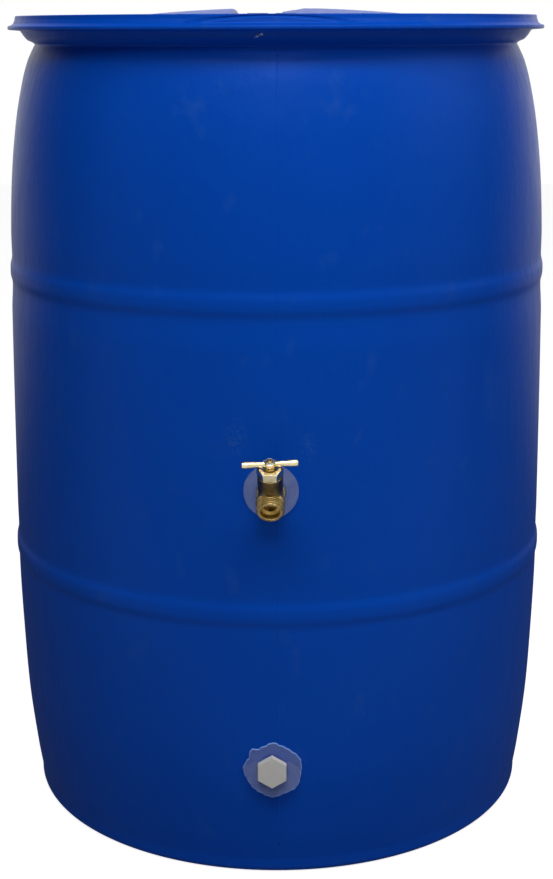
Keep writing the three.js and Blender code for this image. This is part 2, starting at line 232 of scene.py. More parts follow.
@dataclass(frozen=True)
class Thread:
    """A helical ridge of a screw thread: its root radius, depth, pitch and ends along +Z."""

    root: float
    depth: float
    pitch: float
    low: float
    high: float
    inward: bool = False

    def add_to(self, mesh: bmesh.types.BMesh, steps: int = 40) -> None:
        """Adds the ridge, which runs out smoothly at both ends."""
        turns = (self.high - self.low) / self.pitch
        total = math.ceil(turns * steps)
        bottom, crest = 0.44 * self.pitch, 0.09 * self.pitch
        sign = -1 if self.inward else 1
        rings = []
        for i in range(total + 1):
            angle = 2 * math.pi * i / steps
            z = self.low + self.pitch * i / steps
            share = min(1.0, 3 * i / steps, 3 * (total - i) / steps)
            tip = self.root + sign * self.depth * share
            base = self.root - sign * 0.25
            section = ((base, -bottom), (tip, -crest), (tip, crest), (base, bottom))
            rings.append(
                [mesh.verts.new((r * math.sin(angle), -r * math.cos(angle), z + dz)) for r, dz in section]
            )
        for low, high in zip(rings, rings[1:]):
            for k in range(4):
                mesh.faces.new((low[k], low[(k + 1) % 4], high[(k + 1) % 4], high[k]))
        mesh.faces.new(rings[0])
        mesh.faces.new(rings[-1][::-1])

    def cut_on(self, piece: bpy.types.Object, place: Matrix, steps: int = 40) -> bpy.types.Object:
        """Adds the ridge to a piece that stands at a place."""
        mesh = bmesh.new()
        self.add_to(mesh, steps)
        return joined(piece, make_object("thread", mesh, place))


def make_object(name: str, mesh: bmesh.types.BMesh, place: Optional[Matrix] = None) -> bpy.types.Object:
    """Makes an object of a mesh in millimetres.

    Args:
        name: the piece's name.
        mesh: the mesh, which is freed.
        place: its own frame, in millimetres, or None for the barrel's frame.

    Returns:
        A smooth-shaded object at the origin, in metres.
    """
    if place is not None:
        mesh.transform(place)
    mesh.transform(Matrix.Scale(MM, 4))
    bmesh.ops.recalc_face_normals(mesh, faces=mesh.faces)
    data = bpy.data.meshes.new(name)
    mesh.to_mesh(data)
    mesh.free()
    data.shade_smooth()
    made = bpy.data.objects.new(name, data)
    bpy.context.scene.collection.objects.link(made)
    return made


def turned_piece(
    name: str,
    corners: Sequence[Corner],
    place: Matrix,
    sides: int = 96,
    closed: bool = False,
    arc_step: float = 15.0,
) -> bpy.types.Object:
    """Turns an outline about +Z of a place.

    Args:
        name: the piece's name.
        corners: (radius, height, fillet) of each corner of the outline.
        place: where it stands, in millimetres.
        sides: how many sides the turned form has.
        closed: whether the outline closes on itself, for a ring.
        arc_step: degrees that one segment of a fillet turns through.

    Returns:
        The turned object.
    """
    mesh = bmesh.new()
    add_lathe(mesh, filleted(corners, closed, arc_step), sides, closed)
    return make_object(name, mesh, place)


def applied(piece: bpy.types.Object) -> bpy.types.Object:
    """Applies all the modifiers of a piece to its mesh."""
    bpy.context.view_layer.update()
    graph = bpy.context.evaluated_depsgraph_get()
    data = bpy.data.meshes.new_from_object(piece.evaluated_get(graph))
    old = piece.data
    piece.modifiers.clear()
    piece.data = data
    bpy.data.meshes.remove(old)
    data.name = piece.name
    return piece


def cut_with(piece: bpy.types.Object, tool: bpy.types.Object, operation: str) -> bpy.types.Object:
    """Joins, cuts or intersects a piece with a tool, and removes the tool."""
    modifier = piece.modifiers.new("cut", "BOOLEAN")
    modifier.operation = operation
    modifier.solver = "EXACT"
    modifier.object = tool
    applied(piece)
    bpy.data.objects.remove(tool)
    return piece


def bored(
    piece: bpy.types.Object, corners: Sequence[Corner], place: Matrix, sides: int = 96
) -> bpy.types.Object:
    """Cuts a turned hollow out of a piece."""
    return cut_with(piece, turned_piece("hollow", corners, place, sides), "DIFFERENCE")


def softened(piece: bpy.types.Object, width: float, segments: int = 2) -> bpy.types.Object:
    """Breaks the sharp edges of a piece with a small radius in millimetres."""
    bevel = piece.modifiers.new("edge", "BEVEL")
    bevel.width = width * MM
    bevel.segments = segments
    bevel.limit_method = "ANGLE"
    bevel.angle_limit = math.radians(35)
    bevel.harden_normals = True
    return applied(piece)


def fused(piece: bpy.types.Object, voxel: float, smoothing: int) -> bpy.types.Object:
    """Fuses overlapping forms into one casting with small fillets where they meet."""
    remesh = piece.modifiers.new("fuse", "REMESH")
    remesh.mode = "VOXEL"
    remesh.voxel_size = voxel * MM
    smooth = piece.modifiers.new("relax", "SMOOTH")
    smooth.factor = 0.5
    smooth.iterations = smoothing
    applied(piece)
    piece.data.shade_smooth()
    return piece


def joined(piece: bpy.types.Object, extra: bpy.types.Object) -> bpy.types.Object:
    """Adds the mesh of an extra object to a piece, and removes the extra."""
    mesh = bmesh.new()
    mesh.from_mesh(piece.data)
    mesh.from_mesh(extra.data)
    mesh.to_mesh(piece.data)
    mesh.free()
    piece.data.shade_smooth()
    bpy.data.objects.remove(extra)
    return piece


def fit(
    piece: bpy.types.Object,
    body: str,
    material: bpy.types.Material,
    replaces: Sequence[str] = (),
) -> bpy.types.Object:
    """Finishes a piece and fixes it to its body.

    Args:
        piece: the piece, in place.
        body: the moving body that it rides on.
        material: its finish.
        replaces: the plain solids that it stands for.

    Returns:
        The same piece.
    """
    if piece.data.materials:
        piece.data.materials.clear()
    piece.data.materials.append(material)
    if replaces:
        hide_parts(*replaces)
    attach(piece, body)
    log.info("made %s on %s with %d faces", piece.name, body, len(piece.data.polygons))
    return piece


def turn_about_x(degrees: float) -> Matrix:
    """A rotation about X that tips +Z towards -Y."""
    return Matrix.Rotation(math.radians(degrees), 4, "X")


def wall_frame(point: Vector, outward: Vector) -> Matrix:
    """The frame of a fitting on the wall.

    Args:
        point: its origin, in metres.
        outward: the horizontal direction out of the wall.

    Returns:
        A matrix in millimetres, with +Z outwards and +Y up.
    """
    up = Vector((0, 0, 1))
    across = up.cross(outward).normalized()
    turn = Matrix((across, up, outward.normalized())).transposed().to_4x4()
    return Matrix.Translation(point / MM) @ turn


def joint_frame(frame: dict, name: str) -> Matrix:
    """The wall frame of a fitting on the front whose joint stands at its origin."""
    joint = next(j for j in frame["joints"] if j["name"] == name)
    return wall_frame(Vector(joint["pos_m"]), Vector((0, -1, 0)))


def hexagon(flats: float, first: float) -> list[Point]:
    """The corners of a hexagon, by its width across flats and its first corner's angle in degrees."""
    r = flats / math.sqrt(3)
    angles = [math.radians(first + 60 * k) for k in range(6)]
    return [(r * math.cos(a), r * math.sin(a)) for a in angles]


def hexagon_block(
    name: str, flats: float, first: float, low: float, high: float, place: Matrix
) -> bpy.types.Object:
    """A hexagon bar from one height to another at a place."""
    mesh = bmesh.new()
    add_prism(mesh, hexagon(flats, first), low, high)
    return make_object(name, mesh, place)


# ---------------------------------------------------------------------------------------------
# Finishes
# ---------------------------------------------------------------------------------------------


def linear(hex_colour: str) -> tuple[float, float, float, float]:
    """A colour for a shader from its sRGB hex value, such as "0046A8"."""

    def channel(text: str) -> float:
        """One channel, from two hex digits to linear light."""
        value = int(text, 16) / 255
        return value / 12.92 if value <= 0.04045 else ((value + 0.055) / 1.055) ** 2.4

    return (*(channel(hex_colour[i : i + 2]) for i in (0, 2, 4)), 1.0)


def add_node(tree: Tree, kind: str, settings: dict, links: Optional[dict] = None) -> bpy.types.Node:
    """Adds a node.

    Args:
        tree: the node tree.
        kind: the node's type name.
        settings: values of its inputs, by name or number, or of its own properties.
        links: sockets that feed its inputs, by input name or number.

    Returns:
        The node.
    """
    node = tree.nodes.new(kind)
    for name, value in settings.items():
        if isinstance(name, int) or name in node.inputs:
            node.inputs[name].default_value = value
        else:
            setattr(node, name, value)
    for name, socket in (links or {}).items():
        tree.links.new(socket, node.inputs[name])
    return node


class Finish:
    """A material made from nodes: a Principled shader and what a subclass adds to it."""

    name = "finish"
    settings: dict = {}

    def __init__(self) -> None:
        """Makes the material."""
        self.material = bpy.data.materials.new(self.name)
        self.material.use_nodes = True
        self.tree = self.material.node_tree
        self.tree.nodes.clear()
        self.shader = add_node(self.tree, "ShaderNodeBsdfPrincipled", self.settings)
        add_node(self.tree, "ShaderNodeOutputMaterial", {}, {"Surface": self.shader.outputs[0]})
        coordinates = add_node(self.tree, "ShaderNodeTexCoord", {})
        self.place = coordinates.outputs["Object"]
        self.dress()

    def dress(self) -> None:
        """Adds the pattern of the surface."""

    def noise(self, size_mm: float, stretch: Sequence[float] = (1, 1, 1), detail: float = 3.0) -> Socket:
        """Noise from 0 to 1 whose grains are about size_mm wide, divided by a stretch on each axis."""
        scaled = add_node(
            self.tree,
            "ShaderNodeMapping",
            {"Scale": tuple(1 / (size_mm * MM * s) for s in stretch)},
            {"Vector": self.place},
        )
        made = add_node(
            self.tree,
            "ShaderNodeTexNoise",
            {"Scale": 1.0, "Detail": detail, "Roughness": 0.55},
            {"Vector": scaled.outputs[0]},
        )
        return made.outputs["Fac"]

    def spread(self, value: Socket, low: float, high: float, to_low: float, to_high: float) -> Socket:
        """Maps a range of a value onto another range, with both ends held."""
        made = add_node(
            self.tree,
            "ShaderNodeMapRange",
            {"From Min": low, "From Max": high, "To Min": to_low, "To Max": to_high},
            {"Value": value},
        )
        return made.outputs[0]

    def mixed(self, share: Socket, first: str, second: str) -> Socket:
        """A colour between two hex colours."""
        made = add_node(
            self.tree,
            "ShaderNodeMix",
            {"data_type": "RGBA", 6: linear(first), 7: linear(second)},
            {0: share},
        )
        return made.outputs[2]

    def maths(self, operation: str, first: Socket, second: Socket | float) -> Socket:
        """Combines a value with another value or a number."""
        node = add_node(self.tree, "ShaderNodeMath", {"operation": operation}, {0: first})
        if isinstance(second, (int, float)):
            node.inputs[1].default_value = second
        else:
            self.tree.links.new(second, node.inputs[1])
        return node.outputs[0]

    def distance_along(self, axis: Vector) -> Socket:
        """How far a point lies from the origin along an axis, in metres."""
        dot = add_node(
            self.tree,
            "ShaderNodeVectorMath",
            {"operation": "DOT_PRODUCT", 1: tuple(axis.normalized())},
            {0: self.place},
        )
        return dot.outputs["Value"]

    def along(self, axis: Vector, spacing_mm: float) -> Socket:
        """A wave from -1 to 1 along an axis, for turning marks that ring it."""
        phase = self.maths("MULTIPLY", self.distance_along(axis), 2 * math.pi / (spacing_mm * MM))
        return self.maths("SINE", phase, 0.0)

    def bump(self, height: Socket, depth_mm: float, under: Optional[Socket] = None) -> Socket:
        """A bump of a real depth; under is a coarser bump that it lies on."""
        links = {"Height": height}
        if under is not None:
            links["Normal"] = under
        made = add_node(self.tree, "ShaderNodeBump", {"Distance": depth_mm * MM}, links)
        return made.outputs[0]

    def feed(self, name: str, socket: Socket) -> None:
        """Links a socket to an input of the shader."""
        self.tree.links.new(socket, self.shader.inputs[name])


class BlowMouldedHdpe(Finish):
    """High-density polyethylene, blow-moulded: a waxy satin skin with orange peel and fine draw marks."""

    name = "blow_moulded_hdpe_blue"
    settings = {
        "Base Color": linear("004EC4"),
        "Roughness": 0.4,
        "IOR": 1.5,
        "Specular IOR Level": 0.22,
        "Specular Tint": linear("9CB0F0"),
    }
    worn = (((-35, -297, 460), (15, 60, 26)), ((36, -297, 450), (11, 60, 20)))

    def near(self, centre: Corner, radii: Corner) -> Socket:
        """1 at a centre and 0 outside the ellipsoid of the radii, all in mm."""
        moved = add_node(
            self.tree,
            "ShaderNodeVectorMath",
            {"operation": "SUBTRACT", 1: tuple(c * MM for c in centre)},
            {0: self.place},
        )
        scaled = add_node(
            self.tree,
            "ShaderNodeVectorMath",
            {"operation": "DIVIDE", 1: tuple(r * MM for r in radii)},
            {0: moved.outputs[0]},
        )
        length = add_node(self.tree, "ShaderNodeVectorMath", {"operation": "LENGTH"}, {0: scaled.outputs[0]})
        return self.spread(length.outputs["Value"], 0.35, 1.0, 1.0, 0.0)

    def dress(self) -> None:
        """Orange peel, upright draw marks, slow colour drift, and scuffs that gather beside the tap."""
        drift = self.noise(160, (1, 1, 2.2), 2.0)
        scuff = self.spread(self.noise(26, (1, 1, 1.4), 6.0), 0.6, 0.76, 0.0, 0.2)
        scratches = self.spread(self.noise(3.2, (1, 1, 0.7), 6.0), 0.46, 0.72, 0.0, 0.5)
        for centre, radii in self.worn:
            scuff = self.maths("ADD", scuff, self.maths("MULTIPLY", scratches, self.near(centre, radii)))
        colour = add_node(
            self.tree,
            "ShaderNodeMix",
            {"data_type": "RGBA", 7: linear("3A6CBC")},
            {0: scuff, 6: self.mixed(drift, "004BC0", "0051C9")},
        )
        self.feed("Base Color", colour.outputs[2])
        draw = self.noise(5, (1, 1, 9), 4.0)
        self.feed("Roughness", self.spread(draw, 0.3, 0.75, 0.34, 0.44))
        coarse = self.bump(self.noise(11, (1, 1, 1.6), 2.0), 0.35)
        peel = self.bump(self.noise(2.4, (1, 1, 1), 2.0), 0.09, coarse)
        self.feed("Normal", peel)


class StressedHdpe(Finish):
    """The drum's plastic where the mould tore it: stretched, so paler and duller."""

    name = "stress_whitened_hdpe"
    settings = {"Base Color": linear("C3D0F2"), "Roughness": 0.6, "IOR": 1.5}


class MouldedHdpe(Finish):
    """Polyethylene from a polished injection mould, darker than the drum, with fine knurl from wrenches."""

    name = "injection_moulded_hdpe"
    settings = {"Base Color": linear("17396F"), "Roughness": 0.45, "IOR": 1.5}

    def dress(self) -> None:
        """A faint mottle and worn, paler high spots."""
        self.feed("Base Color", self.mixed(self.noise(7, detail=4.0), "12336A", "1F4680"))
        self.feed("Roughness", self.spread(self.noise(3), 0.3, 0.7, 0.38, 0.55))
        self.feed("Normal", self.bump(self.noise(1.2), 0.04))


class Brass(Finish):
    """Yellow brass, cast and then turned or tumbled: bright where it was cut, brown where it was not."""

    name = "cast_yellow_brass"
    light, dark = "D9BE7C", "8A7440"
    rough_low, rough_high = 0.2, 0.36
    grain_mm, grain_depth = 0.9, 0.02
    settings = {"Base Color": linear("C9AE6C"), "Metallic": 1.0, "Roughness": 0.28}

    def dress(self) -> None:
        """Mottled tarnish, a cast grain and a roughness that follows the tarnish."""
        tarnish = self.noise(6, detail=5.0)
        self.feed("Base Color", self.mixed(self.spread(tarnish, 0.35, 0.7, 0, 1), self.light, self.dark))
        self.feed("Roughness", self.spread(tarnish, 0.3, 0.7, self.rough_low, self.rough_high))
        self.feed("Normal", self.bump(self.noise(self.grain_mm), self.grain_depth))


class TurnedBrass(Brass):
    """Brass turned on a lathe: fine rings about its axis break up what it reflects."""

    name = "turned_yellow_brass"
    light, dark = "CDB57A", "8F7742"

    def __init__(self, axis: Vector, spacing_mm: float, bonnet_mm: float) -> None:
        """Makes the finish.

        Args:
            axis: the direction of the bonnet.
            spacing_mm: between the turning rings, drawn coarser than the real 0.1 mm to show.
            bonnet_mm: how far along the axis, from the barrel's origin, the painted shade that darkens the
                bonnet starts.
        """
        self.axis, self.spacing_mm, self.bonnet_mm = axis, spacing_mm, bonnet_mm
        super().__init__()

    def dress(self) -> None:
        """Tarnish as on the casting, painted shade that darkens the bonnet to brown, and turning rings."""
        super().dress()
        start = self.bonnet_mm * MM
        painted_shade = self.spread(self.distance_along(self.axis), start, start + 0.006, 0.0, 0.8)
        bright = self.shader.inputs["Base Color"].links[0].from_socket
        # Painted shade: past the bonnet's start the casting is darkened to this brown, so the bonnet reads as
        # in shade.
        settings = {"data_type": "RGBA", 7: linear("4A3D28")}
        colour = add_node(self.tree, "ShaderNodeMix", settings, {0: painted_shade, 6: bright})
        self.feed("Base Color", colour.outputs[2])
        self.feed("Normal", self.bump(self.along(self.axis, self.spacing_mm), 0.05))


class PolishedBrass(Brass):
    """Tumbled, polished brass: smooth and bright, with faint rub marks."""

    name = "polished_yellow_brass"
    light, dark = "FFF2CE", "E6D29C"
    rough_low, rough_high = 0.14, 0.24
    grain_depth = 0.008


class PlatedSteel(Finish):
    """Zinc-plated steel: pale grey with a fine grain."""

    name = "zinc_plated_steel"
    settings = {"Base Color": linear("C9CAC6"), "Metallic": 1.0, "Roughness": 0.3}

    def dress(self) -> None:
        """Spangled roughness."""
        self.feed("Roughness", self.spread(self.noise(1.5), 0.3, 0.7, 0.22, 0.4))


class ClearVinyl(Finish):
    """Soft clear vinyl sheet, milky in the mass: the drum's blue shows through; the light that cut edges catch
    is painted on them with their own finish.
    """

    name = "clear_soft_vinyl"
    settings = {
        "Base Color": linear("A9BCEB"),
        "Roughness": 0.32,
        "IOR": 1.5,
        "Specular IOR Level": 0.25,
        "Alpha": 0.3,
    }

    def dress(self) -> None:
        """Milky clouding and a slightly rippled sheet."""
        self.feed("Alpha", self.spread(self.noise(9, detail=4.0), 0.3, 0.7, 0.24, 0.36))
        self.feed("Normal", self.bump(self.noise(5), 0.12))


class CutVinyl(Finish):
    """The cut edge of clear vinyl, paler and more opaque than the sheet: a painted highlight for the light that
    runs inside the sheet.
    """

    name = "cut_vinyl_edge_painted_highlight"
    # Painted highlight: a paler, more opaque blue than the sheet stands in for light gathered at the edge.
    settings = {"Base Color": linear("8CB6FA"), "Roughness": 0.35, "IOR": 1.5, "Alpha": 0.8}


class BlackRubber(Finish):
    """Moulded black rubber, matt with a dusty bloom."""

    name = "black_nitrile_rubber"
    settings = {"Base Color": linear("1B1B1D"), "Roughness": 0.75, "IOR": 1.52}

    def dress(self) -> None:
        """A faint grey bloom and a fine texture."""
        self.feed("Base Color", self.mixed(self.noise(6, detail=5.0), "161618", "2A2A2C"))
        self.feed("Normal", self.bump(self.noise(0.8), 0.03))


class WaxyNylon(Finish):
    """White nylon, injection-moulded: warm off-white, waxy, with light scattered below its skin."""

    name = "white_moulded_nylon"
    settings = {
        "Base Color": linear("E0DEDA"),
        "Roughness": 0.42,
        "IOR": 1.53,
        "Subsurface Weight": 0.15,
        "Subsurface Scale": 0.002,
    }

    def dress(self) -> None:
        """A faint yellowing and handling marks."""
        self.feed("Base Color", self.mixed(self.noise(9, detail=5.0), "D8D6D1", "E6E4E1"))
        self.feed("Roughness", self.spread(self.noise(4), 0.3, 0.7, 0.36, 0.5))
        self.feed("Normal", self.bump(self.noise(1.5), 0.03))


class Polypropylene(Finish):
    """Black polypropylene, injection-moulded, with a fine spark-eroded grain."""

    name = "black_polypropylene"
    settings = {"Base Color": linear("1E1F21"), "Roughness": 0.48, "IOR": 1.49}

    def dress(self) -> None:
        """Spark grain and slight greying."""
        self.feed("Base Color", self.mixed(self.noise(12, detail=4.0), "19191B", "26272A"))
        self.feed("Normal", self.bump(self.noise(0.9), 0.05))


@dataclass(frozen=True)
class Finishes:
    """The materials that the pieces share."""

    drum: bpy.types.Material
    nick: bpy.types.Material
    bung: bpy.types.Material
    brass: bpy.types.Material
    polished: bpy.types.Material
    steel: bpy.types.Material
    vinyl: bpy.types.Material
    cut_vinyl: bpy.types.Material
    rubber: bpy.types.Material
    nylon: bpy.types.Material
    black: bpy.types.Material

    @staticmethod
    def made() -> "Finishes":
        """Makes one of each."""
        kinds = (
            BlowMouldedHdpe,
            StressedHdpe,
            MouldedHdpe,
            Brass,
            PolishedBrass,
            PlatedSteel,
            ClearVinyl,
            CutVinyl,
            BlackRubber,
            WaxyNylon,
            Polypropylene,
        )
        return Finishes(*(kind().material for kind in kinds))


# ---------------------------------------------------------------------------------------------
# The drum
# ---------------------------------------------------------------------------------------------


@dataclass
class Head:
    """The drum's head: a flat floor with two raised pads, a channel between them and two bung bosses."""

    floor: float = 846.0
    outer: float = 262.0
    dome: float = 874.2
    dome_drop: float = 19.0
    pad_radius: float = 240.0
    channel_left: float = -44.0
    channel_right: float = 7.0
    slope: tuple[Point, Point] = ((10.0, 869.0), (34.0, 873.8))
    bung_at: float = 196.0
    well: float = 43.0
    lip_x: float = 19.0
    boss: float = 38.0
    boss_top: float = 852.0
    hole: float = 30.5
    sides: int = 256

    def pad_top(self, x: float, y: float) -> float:
        """The height of a pad's crown at a point; the right pad slopes down to the channel."""
        crown = self.dome - self.dome_drop * (x * x + y * y) / self.pad_radius**2
        (x0, z0), (x1, z1) = self.slope
        if x > 0 and x < x1:
            crown = min(crown, z0 + (z1 - z0) * (x - x0) / (x1 - x0))
        return crown

    def arc(self, centre: float, radius: float, start: float, stop: float, step: float) -> list[Vector]:
        """Points on a circle round (0, centre), from one angle to another, about a step apart."""
        count = max(3, round(radius * abs(stop - start) / step))
        angles = [start + (stop - start) * k / count for k in range(count + 1)]
        return [Vector((radius * math.cos(a), centre + radius * math.sin(a))) for a in angles]

    def line(self, start: Vector, stop: Vector, step: float) -> list[Vector]:
        """Points on a straight line, without its ends."""
        count = max(2, round((stop - start).length / step))
        return [start.lerp(stop, k / count) for k in range(1, count)]

    def pads(self) -> list[list[Vector]]:
        """The two pads' outlines at the floor, anticlockwise, with their corners rounded."""
        step = 3.0
        half = math.acos(-self.channel_left / self.pad_radius)
        left = self.arc(0, self.pad_radius, math.pi - half, math.pi + half, step)
        left += self.line(left[-1], left[0], step)

        corner = math.acos(self.lip_x / self.pad_radius)
        rim = self.arc(0, self.pad_radius, -corner, corner, step)
        down = math.acos(self.channel_right / self.well)
        side = math.acos((self.lip_x + 3) / self.well)
        upper = self.arc(self.bung_at, self.well, side, -down, step)
        lower = self.arc(-self.bung_at, self.well, down, -side, step)
        right = rim + upper[1:] + self.line(upper[-1], lower[0], step) + lower[:-1]
        return [self.eased_outline(left), self.eased_outline(right)]

    def eased_outline(self, outline: list[Vector]) -> list[Vector]:
        """Rounds the corners of a dense outline by averaging neighbours."""
        for _ in range(14):
            count = len(outline)
            outline = [
                (outline[k - 1] + 2 * outline[k] + outline[(k + 1) % count]) / 4 for k in range(count)
            ]
        return outline

    def inset(self, outline: list[Vector], distance: float) -> list[Vector]:
        """An anticlockwise outline moved inwards."""
        count = len(outline)
        moved = []
        for k in range(count):
            along = (outline[(k + 1) % count] - outline[k - 1]).normalized()
            moved.append(outline[k] + Vector((-along.y, along.x)) * distance)
        return moved

    def add_to(self, mesh: bmesh.types.BMesh) -> None:
        """Adds the head, whose outer edge matches the drum's turned part."""
        points: list[Vector] = []
        heights: list[float] = []
        edges: list[tuple[int, int]] = []

        def loop(outline: Iterable[Vector], height: Callable[[Vector], float]) -> None:
            """Adds a closed loop of points with their heights."""
            first = len(points)
            for point in outline:
                points.append(point)
                heights.append(height(point))
            count = len(points) - first
            edges.extend((first + k, first + (k + 1) % count) for k in range(count))

        def circle(centre: float, radius: float, height: float, count: int) -> None:
            """Adds a circle round (0, centre), starting towards -Y as the turned part does."""
            angles = [2 * math.pi * k / count for k in range(count)]
            ring = [Vector((radius * math.sin(a), centre - radius * math.cos(a))) for a in angles]
            loop(ring, lambda _: height)

        circle(0, self.outer, self.floor, self.sides)
        walls = ((0, 0), (0.5, 0.06), (0.9, 0.3), (1.2, 0.62), (1.6, 0.9), (2.4, 0.985), (4.0, 1.0))
        for outline in self.pads():
            for distance, share in walls:
                loop(
                    self.inset(outline, distance),
                    lambda p, s=share: self.floor + s * (self.pad_top(p.x, p.y) - self.floor),
                )
            inner = self.inset(outline, 9.0)
            points_inside = self.grid_inside(inner, 11.0)
            points.extend(points_inside)
            heights.extend(self.pad_top(p.x, p.y) for p in points_inside)
        rise = self.boss_top - self.floor
        steps = ((2.6, 0), (1.2, 0.08), (0.4, 0.4), (0, 0.85), (-0.4, 0.97), (-1.2, 1.0))
        for y in (-self.bung_at, self.bung_at):
            for outwards, share in steps:
                circle(y, self.boss + outwards, self.floor + rise * share, 64)
            circle(y, self.hole + 0.8, self.boss_top, 64)
            circle(y, self.hole, self.boss_top - 0.7, 64)
        self.triangulate(mesh, points, heights, edges)

    def grid_inside(self, outline: list[Vector], spacing: float) -> list[Vector]:
        """The points of a square grid that lie inside an outline."""
        xs = [p.x for p in outline]
        ys = [p.y for p in outline]
        found = []
        for i in range(math.ceil((max(xs) - min(xs)) / spacing)):
            for k in range(math.ceil((max(ys) - min(ys)) / spacing)):
                point = Vector((min(xs) + spacing * (i + 0.37), min(ys) + spacing * (k + 0.41)))
                if self.inside(point, outline):
                    found.append(point)
        return found

    @staticmethod
    def inside(point: Vector, outline: list[Vector]) -> bool:
        """Whether a point lies inside an outline, by counting crossings."""
        odd = False
        for a, b in zip(outline, outline[1:] + outline[:1]):
            if (a.y > point.y) != (b.y > point.y):
                odd ^= point.x < a.x + (b.x - a.x) * (point.y - a.y) / (b.y - a.y)
        return odd

    def triangulate(
        self,
        mesh: bmesh.types.BMesh,
        points: list[Vector],
        heights: list[float],
        edges: list[tuple[int, int]],
    ) -> None:
        """Fills the head between its loops, leaves the bung holes open and gives them necks."""
        made, _, faces, sources, _, _ = delaunay_2d_cdt(points, edges, [], 0, 1e-5)
        verts = [
            mesh.verts.new((p.x, p.y, heights[source[0]] if source else self.floor))
            for p, source in zip(made, sources)
        ]
        for face in faces:
            centre = sum((made[i] for i in face), Vector((0, 0))) / len(face)
            if min((centre - Vector((0, y))).length for y in (-self.bung_at, self.bung_at)) > self.hole - 0.5:
                mesh.faces.new([verts[i] for i in face])
        for y in (-self.bung_at, self.bung_at):
            edge = [
                v for v in verts if abs((v.co.xy - Vector((0, y))).length - self.hole) < 0.02 and v.link_faces
            ]
            edge.sort(key=lambda v: math.atan2(v.co.y - y, v.co.x))
            foot = [mesh.verts.new((v.co.x, v.co.y, self.floor - 13)) for v in edge]
            for k in range(len(edge)):
                n = (k + 1) % len(edge)
                mesh.faces.new((edge[k], edge[n], foot[n], foot[k]))
            mesh.faces.new(foot)


